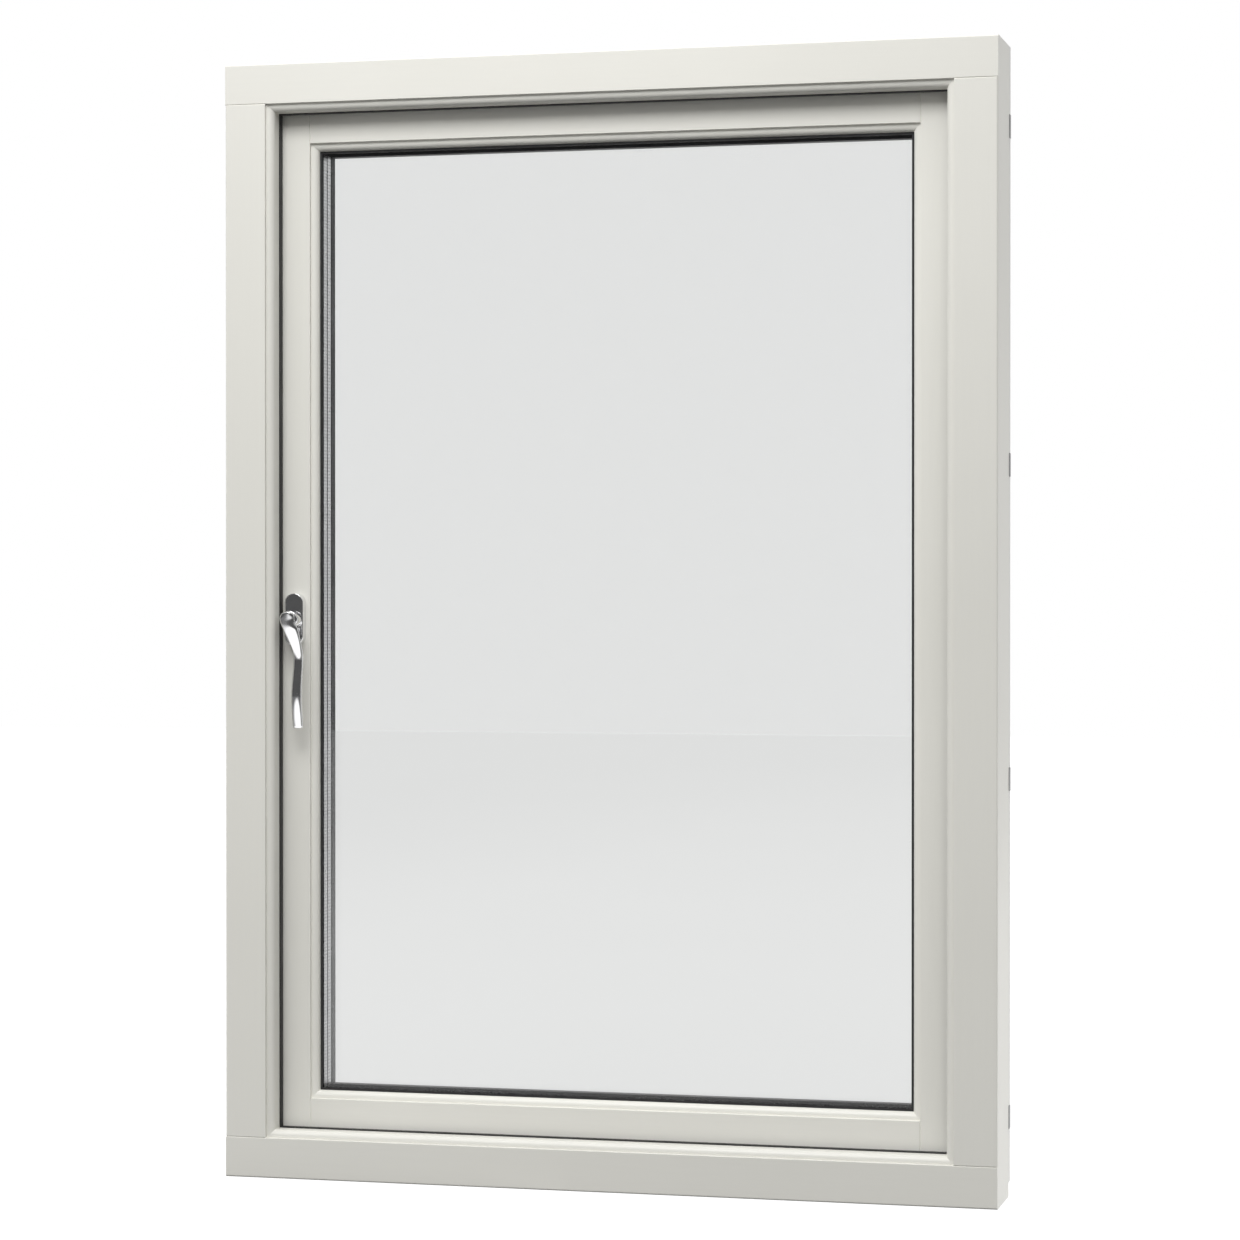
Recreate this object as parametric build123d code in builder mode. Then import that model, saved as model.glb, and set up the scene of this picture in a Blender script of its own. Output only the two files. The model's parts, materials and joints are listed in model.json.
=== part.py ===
"""Side-hung casement window: timber frame and sash, aluminium outer skins, triple glazing.

Millimetres. +X is to the right seen from indoors, +Y points outdoors and +Z up. The origin is
the middle of the sill's underside, halfway through the depth of the timber frame.

Most pieces run along one side of the window, so they are drawn in that side's own coordinates:
u from the frame's outer edge inwards, d from the frame's interior face outdoors, and s along
the side. The four sides follow each other clockwise seen from indoors. Head, sill and rails are
narrower than the upright members, so u of the level sides starts level_trim outside the frame.
"""

import math
import os

from build123d import *

# ---- overall sizes ----
window_width = 970.0
window_height = 1390.0
frame_depth = 94.0  # timber only, interior face to exterior face

# ---- moulding cut on the inner edge of frame and sash members ----
moulding_step = 4.0  # square step back from the face
moulding_flat = 1.5
moulding_radius = 8.0  # quarter round
moulding_width = moulding_flat + moulding_radius
moulding_depth = moulding_step + moulding_radius
edge_radius = 2.4
arris_radius = 0.7
joint_groove = 0.9  # depth and half width of the V cut along the joints of the face

# ---- frame section ----
frame_face = 52.6  # flat interior face of the jambs
level_trim = 2.3  # head, sill and rails are narrower than the upright members by this
frame_sight = frame_face + moulding_width
stop_depth = 25.0  # interior face to the back of the stop
rebate_wall = 36.0  # outer edge to the wall that the hardware is screwed to
gasket_groove = 4.0
gasket_groove_depth = 5.0
gasket_groove_margin = 2.7  # groove to the sight line
gasket_stand = 1.2  # the gasket's bulb past the sight line
gasket_bulb_width = 7.8
gasket_bulb_radius = 3.0
gasket_squeeze = 0.3  # bulb to sash face

# ---- sash section ----
air_gap = 12.0  # rebate wall to sash edge, where keeps, cams and hinge leaves work
seal_gap = 12.5  # back of the stop to the sash face
sash_face_width = 50.5
sash_depth = 46.5  # timber only
glass_rebate = 14.0  # sight line back to the wall that the glass stands in
sash_edge = rebate_wall + air_gap
sash_front = stop_depth + seal_gap
sash_arris = sash_edge + sash_face_width
sash_sight = sash_arris + moulding_width
sash_lip_back = sash_front + moulding_depth
sash_back = sash_front + sash_depth
glass_wall = sash_sight - glass_rebate

# ---- glazing ----
pane_thickness = 4.0
cavity = 12.0
inner_gasket_thickness = 2.0
outer_gasket_thickness = 2.5
outer_gasket_lip = 1.5  # the outer gasket covers the skin's inner wall with this
glass_edge_clearance = 4.5
gasket_reveal = 3.0  # how far the black gasket shows past the timber
block_length = 80.0  # setting blocks
block_end_distance = 90.0
spacer_height = 6.5
spacer_wall = 0.6
glass_edge = glass_wall + glass_edge_clearance
gasket_sight = sash_sight + gasket_reveal
skin_inner = gasket_sight - outer_gasket_lip  # inner wall of the sash skin
spacer_sight = gasket_sight
glass_inner_face = sash_lip_back + inner_gasket_thickness
pane_pitch = pane_thickness + cavity
glass_outer_face = glass_inner_face + 2 * pane_pitch + pane_thickness

# ---- aluminium outer skins ----
skin_wall = 2.0
skin_radius = 1.2
frame_skin_depth = 13.0
frame_skin_edge = 40.0  # inner edge, outer edge of the frame = 0
sill_skin_lift = 17.5  # the skins stop this far above the underside of the sill
skin_gap = 5.0  # frame skin to sash skin
sash_skin_edge = frame_skin_edge + skin_gap
sash_skin_back = glass_outer_face + 15.5
sash_skin_lap = 4.0  # the sash skin's outer wall laps the timber by this much
frame_skin_back = frame_depth + frame_skin_depth
skin_foot = sash_edge + 14.0  # wall of the sash skin that stands on the timber
clip_length = 28.0
clip_stand = 0.8  # how far the frame clips stand out of the frame's side
clip_end_distance = 96.0
clip_middle_distance = 190.0
clip_clearance = 0.4
clip_foot = 13.6
clip_thickness = 5.0
sash_clip_foot = 16.0
sash_clip_thickness = 7.0

# ---- hinges ----
hinge_end_distance = 200.0
hinge_height = 90.0
hinge_leaf = 3.0
knuckle_radius = 7.0
pin_radius = 4.0
pin_clearance = 0.05
washer_thickness = 1.0
hinge_gap = 0.8  # knuckle and leaves to the skins
leaf_start = 60.0  # depth where the leaves begin
leaf_screw_inset = 10.0
leaf_screw_spread = 32.4  # middle screw to the outer ones
pin_inset = 2.0  # knuckle end to pin end
hinge_axis_inset = 2.5  # the pin's axis lies this far inside the frame skin's outer face
hinge_u = rebate_wall + air_gap / 2
hinge_d = frame_skin_back - hinge_axis_inset

# ---- lock: handle, gearbox and drive bar ----
spindle_u = 81.0
spindle_above_middle = 2.0
spindle_square = 7.0
handle_turn = 90.0
bar_travel = 18.0
lock_d = sash_front + 30.0  # middle plane of faceplate, drive bar and gearbox
faceplate_width = 16.0
faceplate_thickness = 3.0
faceplate_end = 60.0  # sash end to faceplate end
bar_width = 11.0
bar_thickness = 2.3
bar_clearance = 0.3
cam_radius = 4.0
cam_stand = 5.5  # cam tip to sash edge
cam_ends = 187.0  # sash end to the outer cams
middle_cam_offset = 85.0
keep_base = 2.5
keep_lip = 4.0
keep_lip_length = 18.0
keep_screw_inset = 6.0
keep_width = 21.0
keep_front_inset = 9.0  # front edge of the keep to the cams' middle plane
keep_entry_gap = 0.5  # cam to keep lip with the handle down
keep_to_sash = 2.5
case_thickness = 12.0
case_wall = 1.5
case_half_height = 40.0
pocket_clearance = 0.3
gear_teeth = 16
pressure_angle = math.radians(25.0)
gear_backlash = 0.25
gear_thickness = 8.0
hub_radius = 7.0
plate_width = 24.0
plate_height = 66.0
plate_thickness = 12.0
plate_screw_spacing = 43.0
plate_screw_radius = 2.5
plate_screw_head = 4.2
plate_screw_head_height = 2.6
plate_base = 7.0  # thickness of the hidden base
rosette_wall = 1.6
rosette_fit = 0.3
rosette_edge = 1.0
neck_radius = 11.0
neck_reach = 31.0  # sash face to the front end of the neck, inside the lever
neck_gap = 0.4  # neck to plate
tail_radius = 6.0
bush_radius = 8.0
spindle_hole_radius = 6.0
lever_edge = 2.2
lever_top_radius = 8.0
lever_tip_radius = 3.0
# The lever's centreline, from the top down: right of the spindle, out from the sash face and
# above the spindle, then the width and thickness of its section there.
lever_line = (
    (0.0, 33.0, 10.0, 19.0, 9.0),
    (-1.0, 33.5, 0.0, 19.5, 9.5),
    (3.0, 32.5, -12.0, 19.5, 9.5),
    (10.0, 25.5, -40.0, 13.0, 9.0),
    (10.5, 24.5, -52.0, 12.0, 9.0),
    (9.5, 28.5, -95.0, 13.0, 9.0),
    (10.5, 25.0, -135.5, 13.0, 8.5),
)

# ---- fasteners and fixings ----
sleeve_radius = 7.0
sleeve_bore_radius = 4.2
sleeve_first = 110.0  # ends of the frame to the outer sleeves
sleeve_count = 4
corner_screw_radius = 2.5
corner_screw_head = 5.0
corner_screw_length = 90.0
wood_screw_radius = 2.0
wood_screw_head = 3.8
wood_screw_length = 22.0
dowel_radius = 4.0
dowel_length = 70.0
dowel_insets = (30.0, 12.0)  # sash end to the front and the back dowels
dowel_inset_back = 11.0

# ---- worked out ----
face_y = -frame_depth / 2  # interior face of the frame
middle_z = window_height / 2
jamb_run = window_height + 2 * level_trim
spindle_front = sash_front - neck_reach + 5.0
spindle_x = -window_width / 2 + spindle_u
spindle_z = middle_z + spindle_above_middle
spindle_s = spindle_z + level_trim
pitch_radius = bar_travel / math.radians(handle_turn)
gear_module = 2 * pitch_radius / gear_teeth
sides = ("left", "top", "right", "bottom")
hinge_heights = (hinge_end_distance, middle_z, window_height - hinge_end_distance)
hinge_names = ("lower", "middle", "upper")
cam_spots = (
    sash_edge + cam_ends,
    spindle_s + middle_cam_offset,
    jamb_run - sash_edge - cam_ends,
)
far = 2 * (window_width + window_height)

os.makedirs("parts", exist_ok=True)


# ---------------------------------------------------------------- helpers


def side_length(side):
    """Length of the outline that u is measured from, along one side."""
    return jamb_run if side in ("left", "right") else window_width


def outer_edge(side):
    """The u of the frame's outer face."""
    return 0.0 if side in ("left", "right") else level_trim


def side_plane(side):
    """Plane across one side: its x is u, its y is d and its normal is s."""
    half = window_width / 2
    low = -level_trim
    high = window_height + level_trim
    corners = {
        "left": ((-half, face_y, low), (1, 0, 0), (0, 0, 1)),
        "top": ((-half, face_y, high), (0, 0, -1), (1, 0, 0)),
        "right": ((half, face_y, high), (-1, 0, 0), (0, 0, -1)),
        "bottom": ((half, face_y, low), (0, 0, 1), (-1, 0, 0)),
    }
    origin, across, along = corners[side]
    return Plane(origin=origin, x_dir=across, z_dir=along)


def outline_plane(side):
    """Plane in the interior face of one side: its x is u and its y is s."""
    base = side_plane(side)
    return Plane(origin=base.origin, x_dir=base.x_dir, z_dir=-base.y_dir)


def u_plane(side, u):
    """Plane at a distance u from one side's outer edge: x is d, y is s and the normal is u."""
    base = side_plane(side)
    origin = base.from_local_coords((u, 0, 0))
    return Plane(origin=origin, x_dir=base.y_dir, z_dir=base.x_dir)


def facing_in(depth):
    """Plane at a depth from the interior face, facing indoors: x is X and y is Z."""
    return Plane(origin=(0, face_y + depth, 0), x_dir=(1, 0, 0), z_dir=(0, -1, 0))


def s_of(side, height):
    """The s of a height above the sill's underside, on a jamb side."""
    return height + level_trim if side == "left" else window_height + level_trim - height


def full_outline(side, inner, start=0.0, end=0.0):
    """A member's outline with square ends."""
    length = side_length(side)
    return [(0, start), (inner, start), (inner, length - end), (0, length - end)]


def mitred_outline(side, outer, inner, start=0.0, end=0.0):
    """An outline with mitred ends. start and end cut the corners off square at that distance."""
    length = side_length(side)
    low = max(outer, start)
    high = max(outer, end)
    points = [(outer, low), (low, low), (inner, inner), (inner, length - inner)]
    points += [(high, length - high), (outer, length - high)]
    return list(dict.fromkeys(points))


def through_outline(side, outer, arris, inner):
    """Runs past its neighbours up to the arris, then mitres through the moulding."""
    length = side_length(side)
    return [
        (outer, outer),
        (arris, outer),
        (arris, arris),
        (inner, inner),
        (inner, length - inner),
        (arris, length - arris),
        (arris, length - outer),
        (outer, length - outer),
    ]


def between_outline(side, outer, arris, inner):
    """Butts against its neighbours at their arris, then mitres through the moulding."""
    length = side_length(side)
    return [
        (outer, arris),
        (arris, arris),
        (inner, inner),
        (inner, length - inner),
        (arris, length - arris),
        (outer, length - arris),
    ]


def rectangle_section(u0, u1, d0, d1):
    """A plain rectangular section."""
    with BuildSketch() as section:
        with Locations(((u0 + u1) / 2, (d0 + d1) / 2)):
            Rectangle(u1 - u0, d1 - d0)
    return section.sketch


def polygon_section(points):
    """A section with straight edges."""
    with BuildSketch() as section:
        with BuildLine():
            Polyline(*points, close=True)
        make_face()
    return section.sketch


def lip_section(outer, arris, front, back):
    """Front part of a member: the flat face, the step, the quarter round and the reveal."""
    turn = arris + moulding_flat
    foot = front + moulding_step
    sight = turn + moulding_radius
    round_end = foot + moulding_radius
    with BuildSketch() as section:
        with BuildLine():
            if back > round_end:
                Line((sight, round_end), (sight, back))
            Polyline((sight, back), (outer, back), (outer, front))
            Polyline((outer, front), (arris, front), (arris, foot), (turn, foot))
            CenterArc((turn, foot + moulding_radius), moulding_radius, -90, 90)
        make_face()
        fillet(section.vertices().sort_by_distance((outer, front, 0))[0], edge_radius)
        fillet(section.vertices().sort_by_distance((arris, front, 0))[0], arris_radius)
    return section.sketch


def member(section, side, outline):
    """Runs a section along one side and keeps what lies inside the outline."""
    with BuildPart() as bar:
        with BuildSketch(side_plane(side)):
            add(section)
        extrude(amount=side_length(side))
        with BuildSketch(outline_plane(side)):
            with BuildLine():
                Polyline(*outline, close=True)
            make_face()
        extrude(amount=far, both=True, mode=Mode.INTERSECT)
    return bar.part


def ring(section, outer, inner):
    """One closed ring of four mitred runs of the same section."""
    with BuildPart() as loop:
        for side in sides:
            add(member(section, side, mitred_outline(side, outer, inner)))
    return loop.part


def block(side, u0, u1, d0, d1, s0, s1):
    """A block given in one side's coordinates."""
    with BuildPart() as solid:
        with BuildSketch(side_plane(side).offset(s0)):
            with Locations(((u0 + u1) / 2, (d0 + d1) / 2)):
                Rectangle(u1 - u0, d1 - d0)
        extrude(amount=s1 - s0)
    return solid.part


def rod(side, d, s, u0, u1, radius):
    """A round bar along u, from u0 to u1."""
    with BuildPart() as solid:
        with BuildSketch(u_plane(side, u0)):
            with Locations((d, s)):
                Circle(radius)
        extrude(amount=u1 - u0)
    return solid.part


def screw(side, d, s, head_u, towards, radius, head_radius, length):
    """A countersunk screw along u. towards is +1 if it points inwards and -1 if outwards."""
    head_height = head_radius - radius
    with BuildPart() as solid:
        with BuildSketch(u_plane(side, head_u)):
            with Locations((d, s)):
                Circle(head_radius)
        with BuildSketch(u_plane(side, head_u + towards * head_height)):
            with Locations((d, s)):
                Circle(radius)
        loft()
        add(rod(side, d, s, head_u, head_u + towards * length, radius))
    return solid.part


def face_groove(side, u0, u1, front, s):
    """The V that is cut across a face along a joint at s."""
    with BuildPart() as solid:
        with BuildSketch(u_plane(side, u0)):
            with BuildLine():
                Polyline(
                    (front - joint_groove, s - 2 * joint_groove),
                    (front + joint_groove, s),
                    (front - joint_groove, s + 2 * joint_groove),
                    close=True,
                )
            make_face()
        extrude(amount=u1 - u0)
    return solid.part


def save(name, piece):
    """Labels a finished piece and writes its file."""
    piece.part.label = name
    export_step(piece.part, f"parts/{name}.step")


# ---------------------------------------------------------------- fasteners in the timber

corner_screw_depths = (stop_depth / 2, (stop_depth + frame_depth) / 2)
with BuildPart() as frame_corner_screws:
    for side in ("top", "bottom"):
        for s in (rebate_wall / 2, window_width - rebate_wall / 2):
            for depth in corner_screw_depths:
                add(
                    screw(
                        side,
                        depth,
                        s,
                        level_trim,
                        1,
                        corner_screw_radius,
                        corner_screw_head,
                        corner_screw_length,
                    )
                )
save("frame_corner_screws", frame_corner_screws)

sleeve_d = (stop_depth + frame_depth) / 2
sleeve_step = (window_height - 2 * sleeve_first) / (sleeve_count - 1)
sleeve_heights = [sleeve_first + i * sleeve_step for i in range(sleeve_count)]
with BuildPart() as fixing_sleeves:
    for height in sleeve_heights:
        add(rod("left", sleeve_d, s_of("left", height), 0, rebate_wall, sleeve_radius))
    for height in sleeve_heights:
        bore = rod("left", sleeve_d, s_of("left", height), -1, rebate_wall + 1, sleeve_bore_radius)
        add(bore, mode=Mode.SUBTRACT)
save("fixing_sleeves", fixing_sleeves)

dowel_depths = (sash_front + moulding_depth / 2, sash_back - dowel_inset_back)
with BuildPart() as sash_corner_dowels:
    for side in ("left", "right"):
        for end in (0, 1):
            for depth, inset in zip(dowel_depths, dowel_insets):
                s = sash_edge + inset
                s = s if end == 0 else jamb_run - s
                start = glass_wall - dowel_length / 2
                add(rod(side, depth, s, start, start + dowel_length, dowel_radius))
save("sash_corner_dowels", sash_corner_dowels)

# ---------------------------------------------------------------- hinges

hinge_origin = Vector(window_width / 2 - hinge_u, face_y + hinge_d, 0)
leaf_cut = hinge_d - knuckle_radius - hinge_gap


def hinge_leaf_part(height, u0, upper):
    """One leaf with its knuckle, above or below the middle of the hinge."""
    half = hinge_height / 2
    play = washer_thickness / 2
    low, high = (play, half) if upper else (-half, -play)
    bore = pin_radius + pin_clearance if upper else pin_radius
    bottom = s_of("right", height + half)
    with BuildPart() as solid:
        add(block("right", u0, u0 + hinge_leaf, leaf_start, leaf_cut, bottom, bottom + hinge_height))
        root_low = s_of("right", height + high)
        root_high = s_of("right", height + low)
        add(block("right", u0, u0 + hinge_leaf, leaf_start, hinge_d, root_low, root_high))
        knuckle_base = Plane(origin=hinge_origin + Vector(0, 0, height + low))
        with BuildSketch(knuckle_base):
            Circle(knuckle_radius)
        extrude(amount=high - low)
        with BuildSketch(knuckle_base):
            Circle(bore)
        extrude(amount=high - low, mode=Mode.SUBTRACT)
        for offset in screw_offsets:
            s = s_of("right", height + offset)
            towards = 1 if upper else -1
            head_u = u0 if upper else u0 + hinge_leaf
            add(hinge_screw(s, head_u, towards), mode=Mode.SUBTRACT)
    return solid.part


def hinge_screw(s, head_u, towards):
    """One screw of a hinge leaf."""
    depth = leaf_start + leaf_screw_inset
    return screw(
        "right", depth, s, head_u, towards, wood_screw_radius, wood_screw_head, wood_screw_length
    )


screw_offsets = (-leaf_screw_spread, 0.0, leaf_screw_spread)
for name, height in zip(hinge_names, hinge_heights):
    with BuildPart() as frame_leaf:
        add(hinge_leaf_part(height, rebate_wall, False))
    save(f"hinge_frame_leaf_{name}", frame_leaf)
    with BuildPart() as sash_leaf:
        add(hinge_leaf_part(height, sash_edge - hinge_leaf, True))
    save(f"hinge_sash_leaf_{name}", sash_leaf)

with BuildPart() as hinge_pins:
    for height in hinge_heights:
        foot = height - hinge_height / 2 + pin_inset
        with BuildSketch(Plane(origin=hinge_origin + Vector(0, 0, foot))):
            Circle(pin_radius)
        extrude(amount=hinge_height - 2 * pin_inset)
save("hinge_pins", hinge_pins)

with BuildPart() as hinge_washers:
    for height in hinge_heights:
        base = height - washer_thickness / 2
        with BuildSketch(Plane(origin=hinge_origin + Vector(0, 0, base))):
            Circle(knuckle_radius - 0.3)
            Circle(pin_radius + pin_clearance, mode=Mode.SUBTRACT)
        extrude(amount=washer_thickness)
save("hinge_washers", hinge_washers)

with BuildPart() as hinge_frame_screws:
    for height in hinge_heights:
        for offset in screw_offsets:
            add(hinge_screw(s_of("right", height + offset), rebate_wall + hinge_leaf, -1))
save("hinge_frame_screws", hinge_frame_screws)

with BuildPart() as hinge_sash_screws:
    for height in hinge_heights:
        for offset in screw_offsets:
            add(hinge_screw(s_of("right", height + offset), sash_edge - hinge_leaf, 1))
save("hinge_sash_screws", hinge_sash_screws)

# ---------------------------------------------------------------- keeps on the lock jamb

keep_low = -cam_radius - 2 * keep_screw_inset
keep_high = cam_radius + keep_entry_gap + keep_lip_length + 2 * keep_screw_inset
keep_lip_start = lock_d + cam_radius + keep_entry_gap
keep_screw_offsets = (keep_low + keep_screw_inset, keep_high - keep_screw_inset)
keep_d0 = lock_d - keep_front_inset
with BuildPart() as keeps:
    for height in cam_spots:
        top = rebate_wall + keep_base
        add(
            block(
                "left", rebate_wall, top, keep_d0, keep_d0 + keep_width, height + keep_low, height + keep_high
            )
        )
        lip_low = height + cam_radius + keep_entry_gap
        add(
            block(
                "left",
                top,
                sash_edge - keep_to_sash,
                keep_lip_start,
                keep_lip_start + keep_lip,
                lip_low,
                lip_low + keep_lip_length,
            )
        )


def keep_screw(s):
    """One screw of a keep."""
    return screw(
        "left",
        lock_d,
        s,
        rebate_wall + keep_base,
        -1,
        wood_screw_radius,
        wood_screw_head,
        wood_screw_length,
    )


with BuildPart() as keep_screws:
    for height in cam_spots:
        for offset in keep_screw_offsets:
            add(keep_screw(height + offset))
with BuildPart() as keep_plates:
    add(keeps.part)
    add(keep_screws.part, mode=Mode.SUBTRACT)
save("keeps", keep_plates)
save("keep_screws", keep_screws)

# ---------------------------------------------------------------- timber frame

groove_u1 = frame_sight - gasket_groove_margin
groove_u0 = groove_u1 - gasket_groove
gasket_cut = rectangle_section(groove_u0, groove_u1, stop_depth - gasket_groove_depth, stop_depth)


def frame_lip(side):
    """Front part of a frame member, with the groove for the gasket."""
    return lip_section(outer_edge(side), frame_face, 0, stop_depth) - gasket_cut


def frame_leg(side):
    """Back part of a frame member."""
    return rectangle_section(outer_edge(side), rebate_wall, stop_depth, frame_depth)


for name, side in (("frame_head", "top"), ("frame_sill", "bottom")):
    with BuildPart() as rail:
        add(member(frame_lip(side), side, through_outline(side, 0, frame_face, frame_sight)))
        add(member(frame_leg(side), side, full_outline(side, rebate_wall)))
        add(frame_corner_screws.part, mode=Mode.SUBTRACT)
        for jamb in ("left", "right"):
            near_start = (jamb == "left") == (side == "bottom")
            joint = frame_face if near_start else jamb_run - frame_face
            add(face_groove(jamb, -1, frame_face, 0, joint), mode=Mode.SUBTRACT)
    save(name, rail)

for name, side in (("frame_jamb_lock", "left"), ("frame_jamb_hinge", "right")):
    with BuildPart() as jamb:
        add(member(frame_lip(side), side, between_outline(side, 0, frame_face, frame_sight)))
        add(member(frame_leg(side), side, full_outline(side, rebate_wall, rebate_wall, rebate_wall)))
        add(frame_corner_screws.part, mode=Mode.SUBTRACT)
        for s in (frame_face, jamb_run - frame_face):
            add(face_groove(side, -1, frame_face, 0, s), mode=Mode.SUBTRACT)
        if side == "left":
            for height in sleeve_heights:
                hole = rod(side, sleeve_d, s_of(side, height), -1, rebate_wall + 1, sleeve_radius)
                add(hole, mode=Mode.SUBTRACT)
            add(keep_screws.part, mode=Mode.SUBTRACT)
        else:
            add(hinge_frame_screws.part, mode=Mode.SUBTRACT)
    save(name, jamb)

bulb_u1 = frame_sight + gasket_stand
bulb_height = seal_gap - gasket_squeeze
foot_clearance = 0.1
with BuildSketch() as gasket_section:
    with Locations(((groove_u0 + groove_u1) / 2, stop_depth - gasket_groove_depth / 2)):
        Rectangle(gasket_groove - 2 * foot_clearance, gasket_groove_depth - 2 * foot_clearance)
    with Locations((bulb_u1 - gasket_bulb_width / 2, stop_depth + bulb_height / 2)):
        RectangleRounded(gasket_bulb_width, bulb_height, gasket_bulb_radius)
    with Locations((bulb_u1 - gasket_bulb_width / 2, stop_depth + gasket_bulb_radius / 2)):
        Rectangle(gasket_bulb_width, gasket_bulb_radius)
with BuildPart() as frame_gasket:
    add(ring(gasket_section.sketch, bulb_u1 - gasket_bulb_width - 1, bulb_u1))
save("frame_gasket", frame_gasket)

# ---------------------------------------------------------------- aluminium skin of the frame



def clip_row(length, inset):
    """The four spots of the clips along a side that is inset at both ends."""
    end = inset + clip_end_distance
    middle = length / 2
    return (end, middle - clip_middle_distance, middle + clip_middle_distance, length - end)


clip_spots = [(side, s) for side in ("left", "right") for s in clip_row(jamb_run, level_trim)]
clip_spots += [("top", s) for s in clip_row(window_width, 0)]
clip_low = frame_depth + 1.0
clip_high = frame_skin_back - skin_wall - 0.5

with BuildPart() as frame_cladding_clips:
    for side, s in clip_spots:
        s0 = s - clip_length / 2
        s1 = s + clip_length / 2
        edge = outer_edge(side)
        neck = edge + skin_wall + clip_clearance
        add(block(side, edge - clip_stand, neck, clip_low, clip_high, s0, s1))
        add(block(side, neck, neck + clip_foot, frame_depth, frame_depth + clip_thickness, s0, s1))
save("frame_cladding_clips", frame_cladding_clips)


def frame_skin_section(outer):
    """A channel with its open side against the timber."""
    inner = frame_skin_edge
    back = frame_skin_back
    with BuildSketch() as section:
        with BuildLine():
            Polyline(
                (outer, frame_depth),
                (outer, back),
                (inner, back),
                (inner, frame_depth),
                (inner - skin_wall, frame_depth),
                (inner - skin_wall, back - skin_wall),
                (outer + skin_wall, back - skin_wall),
                (outer + skin_wall, frame_depth),
                close=True,
            )
        make_face()
        corners = section.vertices().group_by(Axis.Y)[-1]
        fillet(corners, skin_radius)
    return section.sketch


def hinge_notch(u0, u1, depth):
    """Room for the three hinges in a skin on the hinge side."""
    with BuildPart() as solid:
        for height in hinge_heights:
            s = s_of("right", height)
            half = hinge_height / 2 + hinge_gap
            add(block("right", u0, u1, depth, frame_skin_back + 1, s - half, s + half))
    return solid.part


skin_bottom = level_trim + sill_skin_lift
frame_skin_ends = {
    "left": ("frame_cladding_lock", 0.0, skin_bottom, level_trim),
    "top": ("frame_cladding_head", level_trim, 0.0, 0.0),
    "right": ("frame_cladding_hinge", 0.0, level_trim, skin_bottom),
    "bottom": ("frame_cladding_sill", skin_bottom, 0.0, 0.0),
}
for side, (name, outer, start, end) in frame_skin_ends.items():
    with BuildPart() as skin:
        outline = mitred_outline(side, outer, frame_skin_edge, start, end)
        add(member(frame_skin_section(outer), side, outline))
        for spot, s in clip_spots:
            if spot == side:
                half = clip_length / 2 + clip_clearance
                low = clip_low - clip_clearance
                high = clip_high + clip_clearance
                notch = block(side, outer - 1, outer + skin_wall + 0.1, low, high, s - half, s + half)
                add(notch, mode=Mode.SUBTRACT)
        if side == "right":
            edge = hinge_u - knuckle_radius - hinge_gap
            add(hinge_notch(edge, frame_skin_edge + 1, frame_depth - 1), mode=Mode.SUBTRACT)
    save(name, skin)

# ---------------------------------------------------------------- lock hardware in the sash

faceplate_s0 = sash_edge + faceplate_end
faceplate_s1 = jamb_run - faceplate_s0
faceplate_u1 = sash_edge + faceplate_thickness
bar_u0 = faceplate_u1 + bar_clearance
bar_u1 = bar_u0 + bar_thickness
case_u0 = bar_u1 + 2 * bar_clearance
case_u1 = spindle_u + hub_radius + 0.6 + case_wall
case_d0 = lock_d - case_thickness / 2
case_d1 = lock_d + case_thickness / 2
case_s0 = spindle_s - case_half_height
case_s1 = spindle_s + case_half_height
rack_back = spindle_u - pitch_radius - 1.25 * gear_module - 5.0
plate_screw_heights = (
    spindle_z - plate_screw_spacing / 2,
    spindle_z + plate_screw_spacing / 2,
)
faceplate_screw_heights = (
    faceplate_s0 + 15,
    cam_spots[0] + 60,
    case_s0 - 20,
    case_s1 + 110,
    cam_spots[2] - 60,
    faceplate_s1 - 15,
)


def lock_screw(s):
    """One screw of the faceplate."""
    depth = lock_d
    return screw(
        "left", depth, s, sash_edge, 1, wood_screw_radius, wood_screw_head, wood_screw_length
    )


with BuildPart() as faceplate_screws:
    for s in faceplate_screw_heights:
        add(lock_screw(s))
save("faceplate_screws", faceplate_screws)

with BuildPart() as faceplate:
    half = faceplate_width / 2
    add(block("left", sash_edge, faceplate_u1, lock_d - half, lock_d + half, faceplate_s0, faceplate_s1))
    for height in cam_spots:
        reach = cam_radius + bar_clearance
        slot = block(
            "left",
            sash_edge - 1,
            faceplate_u1 + 1,
            lock_d - reach,
            lock_d + reach,
            height - bar_travel - reach,
            height + reach,
        )
        add(slot, mode=Mode.SUBTRACT)
    add(faceplate_screws.part, mode=Mode.SUBTRACT)
save("faceplate", faceplate)

bar_s0 = faceplate_s0 + bar_travel + 8.0
bar_s1 = faceplate_s1 - 8.0
with BuildPart() as drive_bar:
    add(block("left", bar_u0, bar_u1, lock_d - bar_width / 2, lock_d + bar_width / 2, bar_s0, bar_s1))
    for s in faceplate_screw_heights:
        reach = wood_screw_radius + bar_clearance
        slot = block(
            "left", bar_u0 - 1, bar_u1 + 1, lock_d - reach, lock_d + reach, s - reach, s + bar_travel + reach
        )
        add(slot, mode=Mode.SUBTRACT)
save("drive_bar", drive_bar)

with BuildPart() as locking_cams:
    for height in cam_spots:
        add(rod("left", lock_d, height, sash_edge - cam_stand, bar_u0, cam_radius))
    tips = locking_cams.faces().filter_by(Axis.X).group_by(Axis.X)[0].edges()
    chamfer(tips, 0.8)
save("locking_cams", locking_cams)


def involute(angle):
    """The involute function."""
    return math.tan(angle) - angle


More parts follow.
